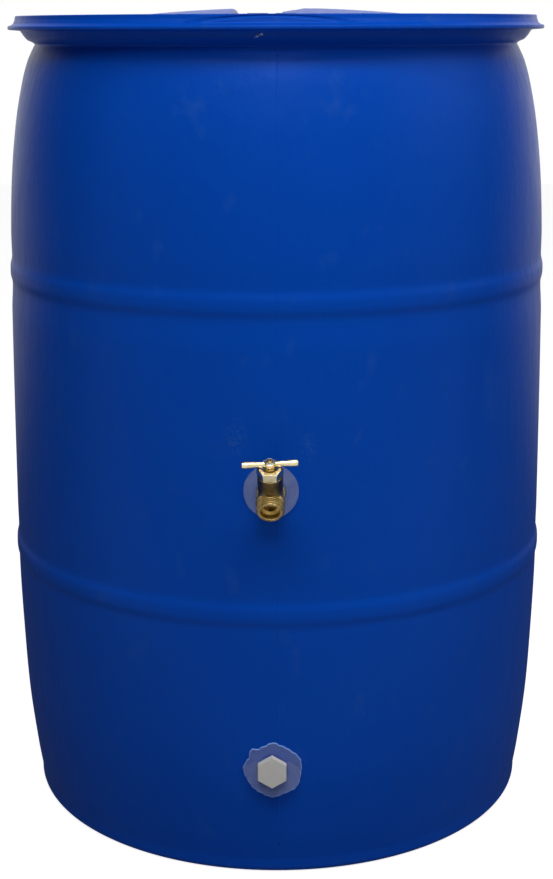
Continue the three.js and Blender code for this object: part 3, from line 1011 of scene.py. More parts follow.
@dataclass
class Drum:
    """The blow-moulded shell: foot, tapered wall, two rolling hoops, shoulder, neck, lifting rim and head."""

    foot_recess: tuple[Point, Point] = ((205.0, 9.0), (222.0, 0.0))
    foot: Corner = (275.6, 0.0, 14.2)
    wall: tuple[Point, ...] = (
        (275.6, 14.2),
        (280.6, 44.0),
        (288.4, 106.7),
        (293.2, 181.4),
        (296.3, 256.0),
        (297.1, 345.0),
        (297.6, 435.0),
        (297.7, 524.0),
        (297.3, 606.0),
        (294.6, 688.8),
        (288.4, 752.1),
        (280.6, 795.4),
        (274.5, 817.2),
        (269.8, 827.9),
        (266.6, 834.2),
    )
    hoops: tuple[float, float] = (280.0, 589.0)
    hoop_crest: float = 298.45
    hoop_foot: float = 296.4
    hoop_half: float = 14.5
    rim: tuple[Corner, ...] = (
        (266.2, 835.6, 1.2),
        (268.7, 837.4, 1.5),
        (274.0, 839.7, 0),
        (277.9, 844.0, 3.0),
        (281.6, 849.8, 2.4),
        (292.6, 850.7, 1.5),
        (295.2, 851.2, 1.8),
        (295.2, 855.0, 1.8),
        (291.8, 855.6, 1.2),
        (289.2, 857.4, 2.6),
        (287.4, 861.5, 5.0),
        (286.9, 865.8, 1.4),
        (277.0, 865.8, 2.0),
        (277.0, 846.0, 6.0),
    )
    band_low: float = 855.3
    band_high: float = 865.0
    band_inner: float = 283.0
    arch_foot: float = 855.8
    seam_half_angle: float = 17.0
    seam_top: float = 863.6
    seam_flare: float = 1.8
    seam_groove: float = 1.5
    seam_x: float = 6.4
    seam_height: float = 0.14
    seam_ends: Point = (30.0, 830.0)
    nick_wall: Point = (278.1, 0.62)
    curl: tuple[Point, ...] = (
        (-14.6, 843.2),
        (-13.0, 845.4),
        (-11.6, 844.2),
        (-10.2, 846.0),
        (-8.4, 847.0),
        (-6.6, 846.2),
    )
    sides: int = 256

    def wall_curve(self) -> list[Point]:
        """The wall's outline with its hoops, finer where it bends most."""
        points = []
        for r, z in smooth_curve(self.wall, 3.0):
            for hoop in self.hoops:
                away = abs(z - hoop) / self.hoop_half
                r -= max(0.0, r - self.hoop_foot) * (1 - eased(away, 1.0, 3.2))
                r += (self.hoop_crest - r) * (1 - eased(away, 0.25, 1.0))
            points.append((r, z))
        return points

    def seam(self, angle: float, point: Point) -> Point:
        """Flares the rim's band under an arched crease, at the front and back, where the mould's halves met."""
        r, z = point
        off = math.degrees(min(abs(math.remainder(angle - a, 2 * math.pi)) for a in (0, math.pi)))
        if off > self.seam_half_angle or not self.band_low < z < self.band_high or r < self.band_inner:
            return point
        arch = self.arch_foot + (self.seam_top - self.arch_foot) * (1 - (off / self.seam_half_angle) ** 2)
        fade = 1 - eased(off, 0.9 * self.seam_half_angle, self.seam_half_angle)
        below = 1 - eased(z, arch - 1.1, arch + 0.1)
        groove = self.seam_groove * max(0.0, 1 - abs(z - arch - 0.6) / 0.8)
        flare = self.seam_flare * below * (0.35 + 0.65 * eased(z, self.band_low, arch))
        return (r + (flare - groove) * fade, z)

    def build(self, finishes: Finishes) -> bpy.types.Object:
        """Builds the shell in place of the plain one."""
        head = Head(sides=self.sides)
        (inner, recess), foot_ring = self.foot_recess
        foot = [(inner - 20, recess, 0), (inner, recess, 12), (*foot_ring, 6), self.foot, (*self.wall[0], 0)]
        base = [(0, recess), (inner * 0.5, recess), *filleted(foot)]
        corners = [(*self.wall_curve()[-1], 0), *self.rim, (head.outer, head.floor, 0)]
        rim = self.finer(filleted(corners))
        profile = base[:-1] + self.wall_curve() + rim[1:]
        mesh = bmesh.new()
        add_lathe(mesh, profile, self.sides, shape=self.seam)
        head.add_to(mesh)
        bmesh.ops.remove_doubles(mesh, verts=mesh.verts, dist=0.005)
        self.parting_lines(mesh)
        drum = make_object("drum", mesh)
        self.nick(finishes)
        return fit(drum, "drum", finishes.drum, ["drum_shell"])

    def parting_lines(self, mesh: bmesh.types.BMesh) -> None:
        """Adds the faint upright ridges, front and back, where the two halves of the mould met."""
        section = ((-1.5, -0.4), (-0.5, self.seam_height), (0.5, self.seam_height), (1.5, -0.4))
        low, high = self.seam_ends
        curve = [(r, z) for r, z in self.wall_curve() if low < z < high]
        for side in (-1, 1):
            x = self.seam_x * side
            path = [Vector((-x, side * math.sqrt(r * r - x * x), z)) for r, z in curve]
            add_tube(mesh, path, section, Vector((1, 0, 0)))

    def nick(self, finishes: Finishes) -> None:
        """The pale curl that the mould left on the neck under the rim, left of the middle."""
        neck, rise = self.nick_wall
        path = [Vector((x, -math.sqrt((neck + rise * (z - 844)) ** 2 - x * x), z)) for x, z in self.curl]
        ring = [(1.15 * math.cos(a), 0.8 * math.sin(a)) for a in (2 * math.pi * k / 10 for k in range(10))]
        mesh = bmesh.new()
        add_tube(mesh, path, ring, Vector((0.35, 0, 0.94)))
        fit(make_object("moulding_nick", mesh), "drum", finishes.nick)

    def finer(self, points: list[Point]) -> list[Point]:
        """Splits the long steps of the rim's band, so that the arched crease has points to bend."""
        result = [points[0]]
        for (r0, z0), (r1, z1) in zip(points, points[1:]):
            steps = 1
            if min(z0, z1) > 855 and min(r0, r1) > self.band_inner:
                steps = max(1, math.ceil(math.hypot(r1 - r0, z1 - z0) / 0.5))
            result += [(r0 + (r1 - r0) * k / steps, z0 + (z1 - z0) * k / steps) for k in range(1, steps + 1)]
        return result


# ---------------------------------------------------------------------------------------------
# The tap
# ---------------------------------------------------------------------------------------------


@dataclass
class Tap:
    """The brass tap: body, packing nut, threaded stem, T-handle and its washers.

    Everything is measured from the seat, where the inlet, stem and outlet axes meet.
    """

    wall_gap: float = 20.0
    stem_tilt: float = -60.0
    outlet_tilt: float = 30.0
    flange: float = 14.2
    bonnet: float = 12.3
    bonnet_neck: float = 9.5
    # Where the painted shade on the bonnet starts, along the stem from the seat.
    painted_bonnet_shade: float = 11.0
    outlet_mouth: float = 20.8
    hose_thread: Thread = Thread(root=12.45, depth=1.0, pitch=2.209, low=10.6, high=19.2)
    shank: float = 24.0
    pipe: float = 13.2
    counterbore: float = 9.3
    counterbore_deep: float = 7.4
    bore: float = 6.25
    chamber: Point = (6.75, 20.0)
    nut_flats: float = 22.2
    nut_low: float = 31.0
    nut_top: float = 40.5
    nut_edge: float = 0.3
    stem: float = 4.6
    stem_thread: Thread = Thread(root=4.15, depth=0.6, pitch=1.5, low=33.0, high=41.6)
    handle_at: float = 44.6
    handle_turn: float = 4.0
    arm: tuple[Point, ...] = ((2.7, 4.0), (2.75, 8.0), (3.1, 14.5), (3.5, 19.5), (3.7, 23.0), (3.6, 25.2))
    arm_end: float = 26.75

    def frames(self, frame: dict) -> tuple[Matrix, Matrix, Matrix]:
        """The frames of the wall, the stem and the outlet, from the joint that turns the stem."""
        wall = joint_frame(frame, "tap_turn")
        return wall, wall @ turn_about_x(self.stem_tilt), wall @ turn_about_x(self.outlet_tilt)

    def body(self, wall: Matrix, stem: Matrix, outlet: Matrix) -> bpy.types.Object:
        """The casting with its water way, fused from turned forms, and the hose thread."""
        flange = 3.3 - self.wall_gap
        inlet = [(0, flange, 0), (self.flange, flange, 0.5), (self.flange, flange + 3.2, 1.2)]
        inlet += [(11.5, flange + 5.4, 2.5), (11, 0, 4), (0, 7, 0)]
        bonnet_top, neck_top = self.nut_low - 0.3, self.nut_low + 3
        bonnet = [(0, -11, 0), (8.5, -9.5, 4), (11.4, -4, 5), (self.bonnet, 5, 8)]
        bonnet += [(self.bonnet, bonnet_top, 0.6), (self.bonnet_neck, bonnet_top, 0.5)]
        bonnet += [(self.bonnet_neck, neck_top, 0.3), (0, neck_top, 0)]
        spout = [(0, -8, 0), (9.5, -6, 3), (9.5, 2.5, 3), (14, 6.3, 1.2), (14, 8.6, 0.6), (12.4, 9.8, 0.6)]
        spout += [(12.4, self.outlet_mouth, 0.6), (0, self.outlet_mouth, 0)]
        end = -self.wall_gap - self.shank
        shank = [(0, end, 0), (self.pipe, end, 0.8), (self.pipe, flange + 1, 0), (0, flange + 1, 0)]
        made = turned_piece("tap_casting", inlet, wall)
        for corners, place in ((bonnet, stem), (spout, outlet), (shank, wall)):
            joined(made, turned_piece("form", corners, place))
        fused(made, 0.42, 5)
        step, past = self.outlet_mouth - self.counterbore_deep, self.outlet_mouth + 1
        mouth = [(0, 4.5, 0), (self.bore, 4.5, 0), (self.bore, step, 0.5), (self.counterbore, step, 0.5)]
        mouth += [(self.counterbore, self.outlet_mouth - 0.5, 0), (self.counterbore + 1.2, past, 0)]
        mouth += [(0, past, 0)]
        bored(made, mouth, outlet, 64)
        chamber, top = self.chamber
        hole = self.stem + 0.3
        guide = [(0, 1, 0), (chamber, 1, 0), (chamber, top, 0), (hole, top, 0)]
        guide += [(hole, neck_top + 2, 0), (0, neck_top + 2, 0)]
        bored(made, guide, stem, 48)
        return self.hose_thread.cut_on(made, outlet)

    def packing_nut(self, stem: Matrix) -> bpy.types.Object:
        """The hexagon cap, with its corners turned off to a chamfer and a stepped top."""
        nut = hexagon_block("packing_nut_cap", self.nut_flats, 0.0, self.nut_low, self.nut_top, stem)
        half = self.nut_flats / 2
        low, top = self.nut_low, self.nut_top
        turned = [(0, low - 1, 0), (half + 0.6, low - 1, 0), (half + 1.9, low + 0.9, 0)]
        turned += [(half + 1.9, top - 1.7, 0), (half - 0.5, top, 0), (0, top, 0)]
        cut_with(nut, turned_piece("chamfer", turned, stem, 96), "INTERSECT")
        plate, gap = top - 1.9, self.stem + 0.5
        hole = [(0, low - 2, 0), (9.8, low - 2, 0), (9.8, plate - 0.3, 0), (gap, plate - 0.3, 0)]
        hole += [(gap, plate, 0), (8.4, top - 0.4, 0), (8.7, top + 1, 0), (0, top + 1, 0)]
        return softened(bored(nut, hole, stem, 64), self.nut_edge)

    def spindle(self, stem: Matrix) -> bpy.types.Object:
        """The stem, threaded above the nut, with a peened end over the handle."""
        shoulder = self.handle_at - 4
        at = self.handle_at
        corners = [(0, 4.6, 0), (6, 4.6, 0.4), (6, 7.6, 0.4), (4.05, 8.8, 0.3), (4.05, shoulder - 1.2, 0)]
        corners += [(self.stem, shoulder - 0.9, 0.2), (self.stem, shoulder, 0.2), (3, shoulder, 0)]
        corners += [(3, at + 3.6, 0.2), (2.4, at + 4.7, 0.9), (0, at + 5.0, 0)]
        return self.stem_thread.cut_on(turned_piece("stem", corners, stem), stem)

    def handle(self, stem: Matrix) -> bpy.types.Object:
        """The T-handle: a ring hub with two tapering arms that swell to round ends."""
        turn = Matrix.Rotation(math.radians(self.handle_turn), 4, "Z")
        place = stem @ Matrix.Translation((0, 0, self.handle_at)) @ turn
        hub = turned_piece("tee", [(0, -1.6, 0), (5.4, -1.6, 0.6), (5.7, 2.8, 1.0), (0, 2.8, 0)], place)
        end = (self.arm[-1][0], self.arm_end)
        corners = [(0, 2, 0), (self.arm[0][0], 2, 0), *((r, z, 0) for r, z in self.arm)]
        corners += [(end[0] - 0.1, end[1], 1.4), (0, end[1], 0)]
        for side in (90, -90):
            sideways = place @ Matrix.Rotation(math.radians(side), 4, "Y")
            joined(hub, turned_piece("arm", corners, sideways, 40, arc_step=10))
        fused(hub, 0.3, 4)
        hole = [(0, -6, 0), (3.3, -6, 0), (3.3, 1.8, 0.3), (4.4, 1.8, 0), (4.4, 5, 0), (0, 5, 0)]
        return bored(hub, hole, place, 48)

    def build(self, frame: dict, finishes: Finishes) -> None:
        """Builds the tap's seen pieces in place of the plain ones."""
        wall, stem, outlet = self.frames(frame)
        axis = (stem.to_3x3() @ Vector((0, 0, 1))).normalized()
        turned = TurnedBrass(axis, 1.1, stem.translation.dot(axis) + self.painted_bonnet_shade).material
        fit(self.body(wall, stem, outlet), "drum", turned, ["tap_body"])
        fit(self.packing_nut(stem), "drum", finishes.polished, ["packing_nut"])
        fit(self.spindle(stem), "tap_spindle", finishes.brass, ["tap_stem"])
        fit(self.handle(stem), "tap_spindle", finishes.polished, ["tee_handle"])
        collar = [(3.3, 2.1, 0.1), (4.2, 2.1, 0.1), (4.2, 3.7, 0.5), (3.3, 3.7, 0.2)]
        handle_base = stem @ Matrix.Translation((0, 0, self.handle_at))
        washer = turned_piece("handle_collar", collar, handle_base, 48, True)
        fit(washer, "tap_spindle", finishes.steel, ["handle_washer"])
        base = wall @ Matrix.Translation((0, 0, -self.wall_gap))
        soft = SoftWasher().build("tap_soft_washer", base)
        fit(soft, "drum", finishes.vinyl, ["tap_outer_washer"])
        soft.data.materials.append(finishes.vinyl)
        nut = LockNut(36.0, 13.5).build("tap_back_nut", base)
        fit(nut, "drum", finishes.brass, ["tap_lock_nut"])


# ---------------------------------------------------------------------------------------------
# Washers, nuts and the other fittings
# ---------------------------------------------------------------------------------------------


@dataclass(frozen=True)
class SoftWasher:
    """A soft washer outside the wall: pressed flat under its fitting, its margin follows the drum."""

    hole: float = 13.5
    thickness: float = 3.0
    flat: float = 16.0
    wall_radius: float = 297.4
    cuts: tuple[Point, ...] = ((0.0, 27.0),)
    ragged: bool = False
    edge_first: int = 4
    edge_last: int = 7

    def radius_at(self, degrees: float) -> float:
        """The edge's radius at an angle, eased between the cuts' high and low points."""
        if len(self.cuts) == 1:
            return self.cuts[0][1]
        corners = [*self.cuts, (self.cuts[0][0] + 360, self.cuts[0][1])]
        if degrees < corners[0][0]:
            degrees += 360
        (a0, r0), (a1, r1) = next(p for p in zip(corners, corners[1:]) if p[0][0] <= degrees <= p[1][0])
        turns = math.radians(degrees)
        ripple = 0.3 * math.sin(23 * turns) + 0.22 * math.sin(41 * turns + 1) if self.ragged else 0.0
        return r0 + (r1 - r0) * eased(degrees, a0, a1) + ripple

    def build(self, name: str, place: Matrix, sides: int = 144) -> bpy.types.Object:
        """The washer, in its fitting's frame on the wall."""
        top, low = self.thickness, 0.35
        across = (0.0, 0.3, 0.6, 0.8)
        section = [(share, 0.0, top) for share in across]
        section += [(1.0, 0.9, top), (1.0, 0.25, top - 0.2), (1.0, 0.0, top - 0.8), (1.0, 0.0, low)]
        section += [(share, 0.0, low) for share in reversed(across)]
        mesh = bmesh.new()
        rings: list[list[bmesh.types.BMVert]] = []
        for share, inset, z in section:
            ring = []
            for k in range(sides):
                angle = 2 * math.pi * k / sides
                r = self.hole + (self.radius_at(math.degrees(angle)) - self.hole) * share - inset
                x, y = r * math.cos(angle), r * math.sin(angle)
                fall = x * x / (2 * self.wall_radius) * eased(r, self.flat, self.flat + 8)
                ring.append(mesh.verts.new((x, y, z - fall)))
            rings.append(ring)
        for i, (low_ring, high_ring) in enumerate(zip(rings, rings[1:] + rings[:1])):
            on_edge = self.edge_first <= i < self.edge_last
            for k in range(sides):
                n = (k + 1) % sides
                face = mesh.faces.new((low_ring[k], low_ring[n], high_ring[n], high_ring[k]))
                face.material_index = int(on_edge)
        return make_object(name, mesh, place)


@dataclass(frozen=True)
class LockNut:
    """A hexagon nut inside the wall, chamfered on the side that meets the washer."""

    flats: float
    hole: float
    face: float = -8.8
    height: float = 9.0
    chamfer: float = 1.6
    edge: float = 0.3

    def build(self, name: str, place: Matrix) -> bpy.types.Object:
        """The nut, with its corners turned off."""
        low = self.face - self.height
        nut = hexagon_block(name, self.flats, 0.0, low, self.face, place)
        half, corner = self.flats / 2, self.flats / math.sqrt(3) + 0.2
        turned = [
            (0, low, 0),
            (half, low, 0),
            (corner, low + self.chamfer, 0),
            (corner, self.face - self.chamfer, 0),
            (half, self.face, 0),
            (0, self.face, 0),
        ]
        cut_with(nut, turned_piece("chamfer", turned, place), "INTERSECT")
        top = self.face + 1
        bore = [(0, low - 1, 0), (self.hole, low - 1, 0), (self.hole, top, 0), (0, top, 0)]
        return softened(bored(nut, bore, place, 48), self.edge)


@dataclass
class DrainPlug:
    """The nylon plug low on the front: a hexagon head, points up and down, on a hollow threaded shank."""

    flats: float = 28.6
    head_low: float = 3.3
    head: float = 6.4
    edge: float = 0.9
    shank: float = 20.0
    hollow: float = 9.0
    thread: Thread = Thread(root=12.1, depth=1.0, pitch=1.814, low=-19.0, high=1.5)
    washer: SoftWasher = SoftWasher(
        wall_radius=289.2,
        flat=17.0,
        ragged=True,
        cuts=(
            (19, 30.2),
            (53, 27.4),
            (71, 27.3),
            (88, 28.9),
            (107, 26.3),
            (122, 25.8),
            (136, 29.9),
            (153, 26.6),
            (178, 29.2),
            (206, 27.2),
            (245, 27.1),
            (272, 28.8),
            (294, 27.9),
            (326, 30.5),
            (350, 29.2),
        ),
    )

    def plug(self, place: Matrix) -> bpy.types.Object:
        """The head and the shank as one moulding."""
        top = self.head_low + self.head
        plug = hexagon_block("drain_hexagon", self.flats, 30.0, self.head_low, top, place)
        softened(plug, self.edge, 3)
        root = self.thread.root
        shank = [
            (0, 2, 0),
            (self.hollow, 2, 0),
            (self.hollow, -self.shank, 0.4),
            (root - 0.2, -self.shank, 0.5),
            (root, 2.4, 0),
            (13.2, 3.0, 0.3),
            (13.2, self.head_low + 0.5, 0),
            (0, self.head_low + 0.5, 0),
        ]
        joined(plug, turned_piece("shank", shank, place, 72))
        return self.thread.cut_on(plug, place)

    def build(self, frame: dict, finishes: Finishes) -> None:
        """Builds the plug, its hand-cut washer and what holds it inside."""
        place = joint_frame(frame, "drain_turn")
        fit(self.plug(place), "drain", finishes.nylon, ["drain_plug"])
        washer = self.washer.build("drain_cut_washer", place)
        fit(washer, "drain_seal", finishes.vinyl, ["drain_outer_washer"])
        # The cut edge takes the painted highlight of the cut-edge finish.
        washer.data.materials.append(finishes.cut_vinyl)
        nut = LockNut(36.0, 13.5).build("drain_back_nut", place)
        fit(nut, "drum", finishes.nylon, ["drain_lock_nut"])


@dataclass
class HoseConnector:
    """The black connector high on the back for a diverter's hose: hexagon, flange and barbed spigot."""

    height: float = 735.0
    wall: float = 290.1
    pipe: float = 16.6
    bore: float = 13.0
    end: float = 58.4
    shank: float = 22.0
    flange: float = 24.0
    flats: float = 40.0
    hex_low: float = 4.0
    hex_top: float = 11.3
    neck: float = 15.4
    barb: float = 17.0
    barb_pitch: float = 11.0
    thread: Thread = Thread(root=15.5, depth=1.0, pitch=2.209, low=-21.0, high=1.5)

    def place(self) -> Matrix:
        """Its frame on the back of the drum."""
        return wall_frame(Vector((0, self.wall, self.height)) * MM, Vector((0, 1, 0)))

    def connector(self, place: Matrix) -> bpy.types.Object:
        """The spigot with its barbs, the flange and the hexagon."""
        corners: list[Corner] = [
            (self.bore, -self.shank, 0.4),
            (15.3, -self.shank, 0.5),
            (15.5, 2.4, 0),
            (self.pipe, 3.0, 0.3),
            (self.flange, 3.3, 0.4),
            (self.flange, 5.3, 0.8),
            (self.neck, 6.0, 0),
            (self.neck, self.hex_top + 4, 0.8),
        ]
        z = self.hex_top + 4
        while z + self.barb_pitch < self.end:
            corners += [
                (self.barb, z + 1, 0.3),
                (self.neck, z + self.barb_pitch - 1, 0.3),
                (self.neck, z + self.barb_pitch, 0.3),
            ]
            z += self.barb_pitch
        corners[-1] = (self.neck, self.end, 0.6)
        corners.append((self.bore, self.end, 0.6))
        spigot = turned_piece("hose_spigot", corners, place, 96, True)
        nut = softened(hexagon_block("hexagon", self.flats, 0.0, self.hex_low, self.hex_top, place), 0.8, 3)
        hole = [(0, 0, 0), (self.neck - 0.3, 0, 0), (self.neck - 0.3, 20, 0), (0, 20, 0)]
        bored(nut, hole, place)
        self.thread.cut_on(spigot, place)
        return joined(spigot, nut)

    def build(self, finishes: Finishes) -> None:
        """Builds the connector, its rubber washer and its nut."""
        place = self.place()
        fit(self.connector(place), "drum", finishes.black, ["hose_connector"])
        washer = SoftWasher(16.9, 3.0, 24.0, self.wall, ((0.0, 28.0),)).build("hose_soft_washer", place)
        fit(washer, "drum", finishes.rubber, ["hose_outer_washer"])
        washer.data.materials.append(finishes.rubber)
        nut = LockNut(44.0, 16.9).build("hose_back_nut", place)
        fit(nut, "drum", finishes.black, ["hose_lock_nut"])


class BungPlace(Enum):
    """Which of the two bungs: the name of its body's first word."""

    FRONT = "front"
    REAR = "rear"


@dataclass
class Bung:
    """A 2 inch plug: a threaded cup with a flange, and a notched grip bar across the cup."""

    place: BungPlace
    seat: float = 852.0
    thread: Thread = Thread(root=28.6, depth=1.4, pitch=2.209, low=-18.0, high=1.6)
    flange: float = 35.5
    flange_low: float = 3.2
    flange_top: float = 7.2
    cup: float = 25.0
    cup_floor: float = -17.0
    shank: float = 20.0
    bar_length: float = 52.0
    bar_thick: float = 5.0
    bar_top: float = 15.0
    notch: float = 7.0
    notch_low: float = 10.0
    ribs: int = 36
    gasket: tuple[float, float, float, float] = (30.4, 34.6, 0.3, 2.9)

    def plug(self, place: Matrix) -> bpy.types.Object:
        """The cup with its thread, rim ribs and grip bar."""
        root = self.thread.root
        corners = [
            (0, -self.shank, 0),
            (root - 0.5, -self.shank, 1.0),
            (root, 2.0, 0),
            (30.1, 2.6, 0.3),
            (30.1, self.flange_low, 0),
            (self.flange, self.flange_low, 0.4),
            (self.flange, self.flange_top, 0.9),
            (self.cup + 3, self.flange_top, 0.5),
            (self.cup, self.flange_top - 1.2, 0.8),
            (self.cup - 0.6, self.cup_floor, 2.0),
            (0, self.cup_floor, 0),
        ]
        plug = turned_piece("bung", corners, place)
        mesh = bmesh.new()
        add_prism(mesh, self.bar_outline(), -self.bar_thick / 2, self.bar_thick / 2)
        mesh.transform(Matrix.Rotation(math.radians(90), 4, "X"))
        joined(plug, softened(make_object("bar", mesh, place), 0.8, 3))
        for k in range(self.ribs):
            angle = 2 * math.pi * (k + 0.5) / self.ribs
            turn = place @ Matrix.Rotation(angle, 4, "Z") @ Matrix.Translation((self.flange - 3.4, 0, 0))
            rib = bmesh.new()
            outline = [(-1.8, -0.7), (1.8, -0.7), (1.8, 0.7), (-1.8, 0.7)]
            add_prism(rib, outline, self.flange_top - 0.6, self.flange_top + 0.7)
            joined(plug, make_object("rib", rib, turn))
        return self.thread.cut_on(plug, place, 64)

    def bar_outline(self) -> list[Point]:
        """The bar's face, in X and Z: two lugs with a notch between them."""
        half, slot = self.bar_length / 2, self.notch / 2
        corners = [
            (-self.cup + 0.5, self.cup_floor - 0.5, 0),
            (self.cup - 0.5, self.cup_floor - 0.5, 0),
            (self.cup - 0.5, self.flange_top - 0.5, 0),
            (half, self.flange_top - 0.5, 0),
            (half, self.bar_top, 2.6),
            (slot, self.bar_top, 1.0),
            (slot, self.notch_low, 1.0),
            (-slot, self.notch_low, 1.0),
            (-slot, self.bar_top, 1.0),
            (-half, self.bar_top, 2.6),
            (-half, self.flange_top - 0.5, 0),
            (-self.cup + 0.5, self.flange_top - 0.5, 0),
        ]
        return filleted(corners, True, 20)

    def build(self, frame: dict, finishes: Finishes) -> None:
        """Builds the plug and its rubber gasket."""
        name = self.place.value
        joint = next(j for j in frame["joints"] if j["name"] == f"{name}_bung_turn")
        place = Matrix.Translation(Vector(joint["pos_m"]) / MM)
        plug = self.plug(place)
        plug.name = f"{name}_bung"
        fit(plug, f"{name}_bung", finishes.bung, [f"{name}_bung_plug"])
        inner, outer, low, high = self.gasket
        corners = [(inner, low, 0.6), (outer, low, 0.9), (outer, high, 0.9), (inner, high, 0.6)]
        gasket = turned_piece(f"{name}_seal_ring", corners, place, 96, True)
        fit(gasket, f"{name}_seal", finishes.rubber, [f"{name}_bung_gasket"])


# ---------------------------------------------------------------------------------------------
# The studio
# ---------------------------------------------------------------------------------------------


@dataclass
class Lamp:
    """A soft box that points at the middle of the barrel, placed by azimuth from -Y and elevation."""

    name: str
    azimuth: float
    elevation: float
    distance: float
    width: float
    height: float
    watts: float
    colour: str = "FFFFFF"

    def add(self, target: Vector) -> None:
        """Adds the lamp to the scene."""
        data = bpy.data.lights.new(self.name, "AREA")
        data.shape = "RECTANGLE"
        data.size, data.size_y = self.width, self.height
        data.energy = self.watts
        data.color = linear(self.colour)[:3]
        lamp = bpy.data.objects.new(self.name, data)
        a, e = math.radians(self.azimuth), math.radians(self.elevation)
        back = Vector((math.sin(a) * math.cos(e), -math.cos(a) * math.cos(e), math.sin(e)))
        lamp.location = target + back * self.distance
        lamp.rotation_mode = "QUATERNION"
        lamp.rotation_quaternion = (-back).to_track_quat("-Z", "Y")
        bpy.context.scene.collection.objects.link(lamp)


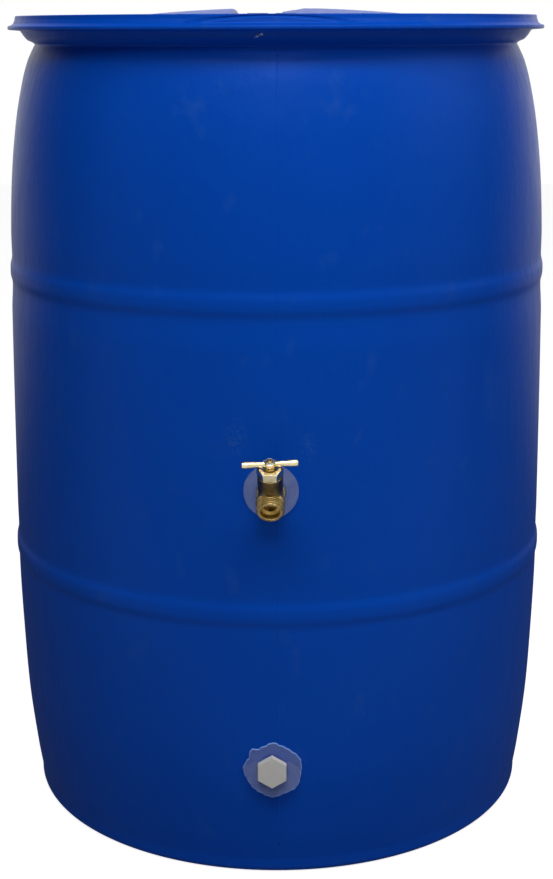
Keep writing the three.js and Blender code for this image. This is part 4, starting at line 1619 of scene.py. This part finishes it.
@dataclass
class Studio:
    """The camera, the soft boxes, the white surroundings behind the barrel and the pale floor."""

    lens: float = 66.1
    sensor: float = 36.0
    shift_up: float = -0.211
    eye_height: float = 0.853
    eye_distance: float = 1.8157
    eye_azimuth: float = 1.15
    look_down: float = 8.0
    roll: float = -0.17
    floor_size: float = 14.0
    floor_glow: float = 0.85
    mirrored_floor: tuple[float, float] = (0.75, 0.5)
    mirrored_front: float = 0.85
    dim: float = 0.03
    bright: float = 1.2

    def camera(self) -> None:
        """A level-eyed camera with a little downward tilt."""
        data = bpy.data.cameras.new("camera")
        data.lens, data.sensor_width = self.lens, self.sensor
        data.shift_y = self.shift_up
        data.clip_start, data.clip_end = 0.05, 60.0
        eye = bpy.data.objects.new("camera", data)
        a, down = math.radians(self.eye_azimuth), math.radians(self.look_down)
        away = Vector((math.sin(a), -math.cos(a), 0))
        eye.location = away * self.eye_distance + Vector((0, 0, self.eye_height))
        ahead = -away * math.cos(down) - Vector((0, 0, math.sin(down)))
        eye.rotation_mode = "QUATERNION"
        level = ahead.to_track_quat("-Z", "Y")
        eye.rotation_quaternion = level @ Matrix.Rotation(math.radians(self.roll), 3, "Z").to_quaternion()
        bpy.context.scene.collection.objects.link(eye)
        bpy.context.scene.camera = eye

    def lamps(self) -> None:
        """A wide key from above in front, a small window below it, and a fill on the right."""
        middle = Vector((0, 0, 0.5))
        Lamp("key", 5, 58, 2.5, 2.4, 0.5, 34).add(middle)
        Lamp("window", 2, 38, 2.5, 0.7, 0.5, 7).add(middle)
        Lamp("side", 75, 30, 3.0, 2.2, 2.0, 11).add(middle)

    def surroundings(self) -> None:
        """A world that is white to the eye, bright behind the barrel and dim in front of it."""
        world = bpy.data.worlds.new("surroundings")
        world.use_nodes = True
        tree = world.node_tree
        tree.nodes.clear()
        direction = add_node(tree, "ShaderNodeTexCoord", {}).outputs["Generated"]
        depth = add_node(tree, "ShaderNodeSeparateXYZ", {}, {0: direction}).outputs["Y"]
        behind = self.stepped(tree, depth, (0.5, 0.9), (self.dim, self.bright))
        in_front = self.stepped(tree, depth, (-0.1, -0.4), (0, self.mirrored_front))
        rays = add_node(tree, "ShaderNodeLightPath", {})
        links = {0: in_front, 1: rays.outputs["Is Glossy Ray"], 2: behind}
        strength = add_node(tree, "ShaderNodeMath", {"operation": "MULTIPLY_ADD"}, links).outputs[0]
        lit = add_node(tree, "ShaderNodeBackground", {"Color": (1, 1, 1, 1)}, {"Strength": strength})
        seen = add_node(tree, "ShaderNodeBackground", {"Color": (1, 1, 1, 1), "Strength": 1.0})
        chosen = self.by_eye(tree, lit.outputs[0], seen.outputs[0])
        add_node(tree, "ShaderNodeOutputWorld", {}, {"Surface": chosen})
        bpy.context.scene.world = world

    @staticmethod
    def stepped(tree: Tree, value: Socket, ends: Point, levels: Point) -> Socket:
        """Goes from one level to another between two ends of a value."""
        settings = {"From Min": ends[0], "From Max": ends[1], "To Min": levels[0], "To Max": levels[1]}
        return add_node(tree, "ShaderNodeMapRange", settings, {"Value": value}).outputs[0]

    @staticmethod
    def by_eye(tree: Tree, lit: Socket, seen: Socket) -> Socket:
        """One shader for what a surface is lit by and another for what is seen directly."""
        rays = add_node(tree, "ShaderNodeLightPath", {})
        links = {0: rays.outputs["Is Camera Ray"], 1: lit, 2: seen}
        return add_node(tree, "ShaderNodeMixShader", {}, links).outputs[0]

    def floor(self) -> None:
        """White paper that takes a soft shadow and throws little light back up at the barrel."""
        mesh = bmesh.new()
        bmesh.ops.create_grid(mesh, x_segments=1, y_segments=1, size=self.floor_size / 2 / MM)
        floor = make_object("studio_floor", mesh)
        material = bpy.data.materials.new("white_seamless_paper")
        material.use_nodes = True
        tree = material.node_tree
        tree.nodes.clear()
        paper = add_node(tree, "ShaderNodeBsdfDiffuse", {"Color": linear("D8D8D8")})
        glow = add_node(tree, "ShaderNodeEmission", {"Color": (1, 1, 1, 1), "Strength": self.floor_glow})
        bright = add_node(tree, "ShaderNodeAddShader", {}, {0: paper.outputs[0], 1: glow.outputs[0]})
        dark = add_node(tree, "ShaderNodeBsdfDiffuse", {"Color": linear("B0B0B0")})
        place = add_node(tree, "ShaderNodeTexCoord", {}).outputs["Object"]
        depth = add_node(tree, "ShaderNodeSeparateXYZ", {}, {0: place}).outputs["Y"]
        in_front = self.stepped(tree, depth, (-0.38, -0.5), (0.05, self.mirrored_floor[0]))
        behind = self.stepped(tree, depth, (0.9, 2.4), (0, self.mirrored_floor[1]))
        strength = add_node(tree, "ShaderNodeMath", {"operation": "ADD"}, {0: in_front, 1: behind}).outputs[0]
        mirrored = add_node(tree, "ShaderNodeEmission", {"Color": (1, 1, 1, 1)}, {"Strength": strength})
        rays = add_node(tree, "ShaderNodeLightPath", {})
        links = {0: rays.outputs["Is Glossy Ray"], 1: dark.outputs[0], 2: mirrored.outputs[0]}
        lit = add_node(tree, "ShaderNodeMixShader", {}, links)
        chosen = self.by_eye(tree, lit.outputs[0], bright.outputs[0])
        add_node(tree, "ShaderNodeOutputMaterial", {}, {"Surface": chosen})
        floor.data.materials.append(material)

    def build(self) -> None:
        """Sets up the whole studio, with colours shown as they are."""
        self.camera()
        self.lamps()
        self.surroundings()
        self.floor()
        bpy.context.scene.view_settings.view_transform = "Standard"


def dress_hidden(frame: dict, finishes: Finishes) -> None:
    """Gives the plain pieces inside the barrel and the tap their real finishes."""
    dressed = {
        "tap_inner_washer": finishes.rubber,
        "hose_inner_washer": finishes.rubber,
        "drain_inner_washer": finishes.rubber,
        "packing_ring": finishes.rubber,
        "seat_washer": finishes.rubber,
        "seat_screw": finishes.steel,
    }
    for node, material in dressed.items():
        data = frame["nodes"][node].data
        data.materials.clear()
        data.materials.append(material)
        log.info("kept %s as it is, in %s", node, material.name)


def main() -> None:
    """Builds the barrel piece by piece, then the studio."""
    logging.basicConfig(level=logging.INFO, format="%(message)s")
    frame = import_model()
    studio = Studio()
    studio.build()
    finishes = Finishes.made()
    Drum().build(finishes)
    Tap().build(frame, finishes)
    DrainPlug().build(frame, finishes)
    HoseConnector().build(finishes)
    for place in BungPlace:
        Bung(place).build(frame, finishes)
    dress_hidden(frame, finishes)


if __name__ == "__main__":
    main()
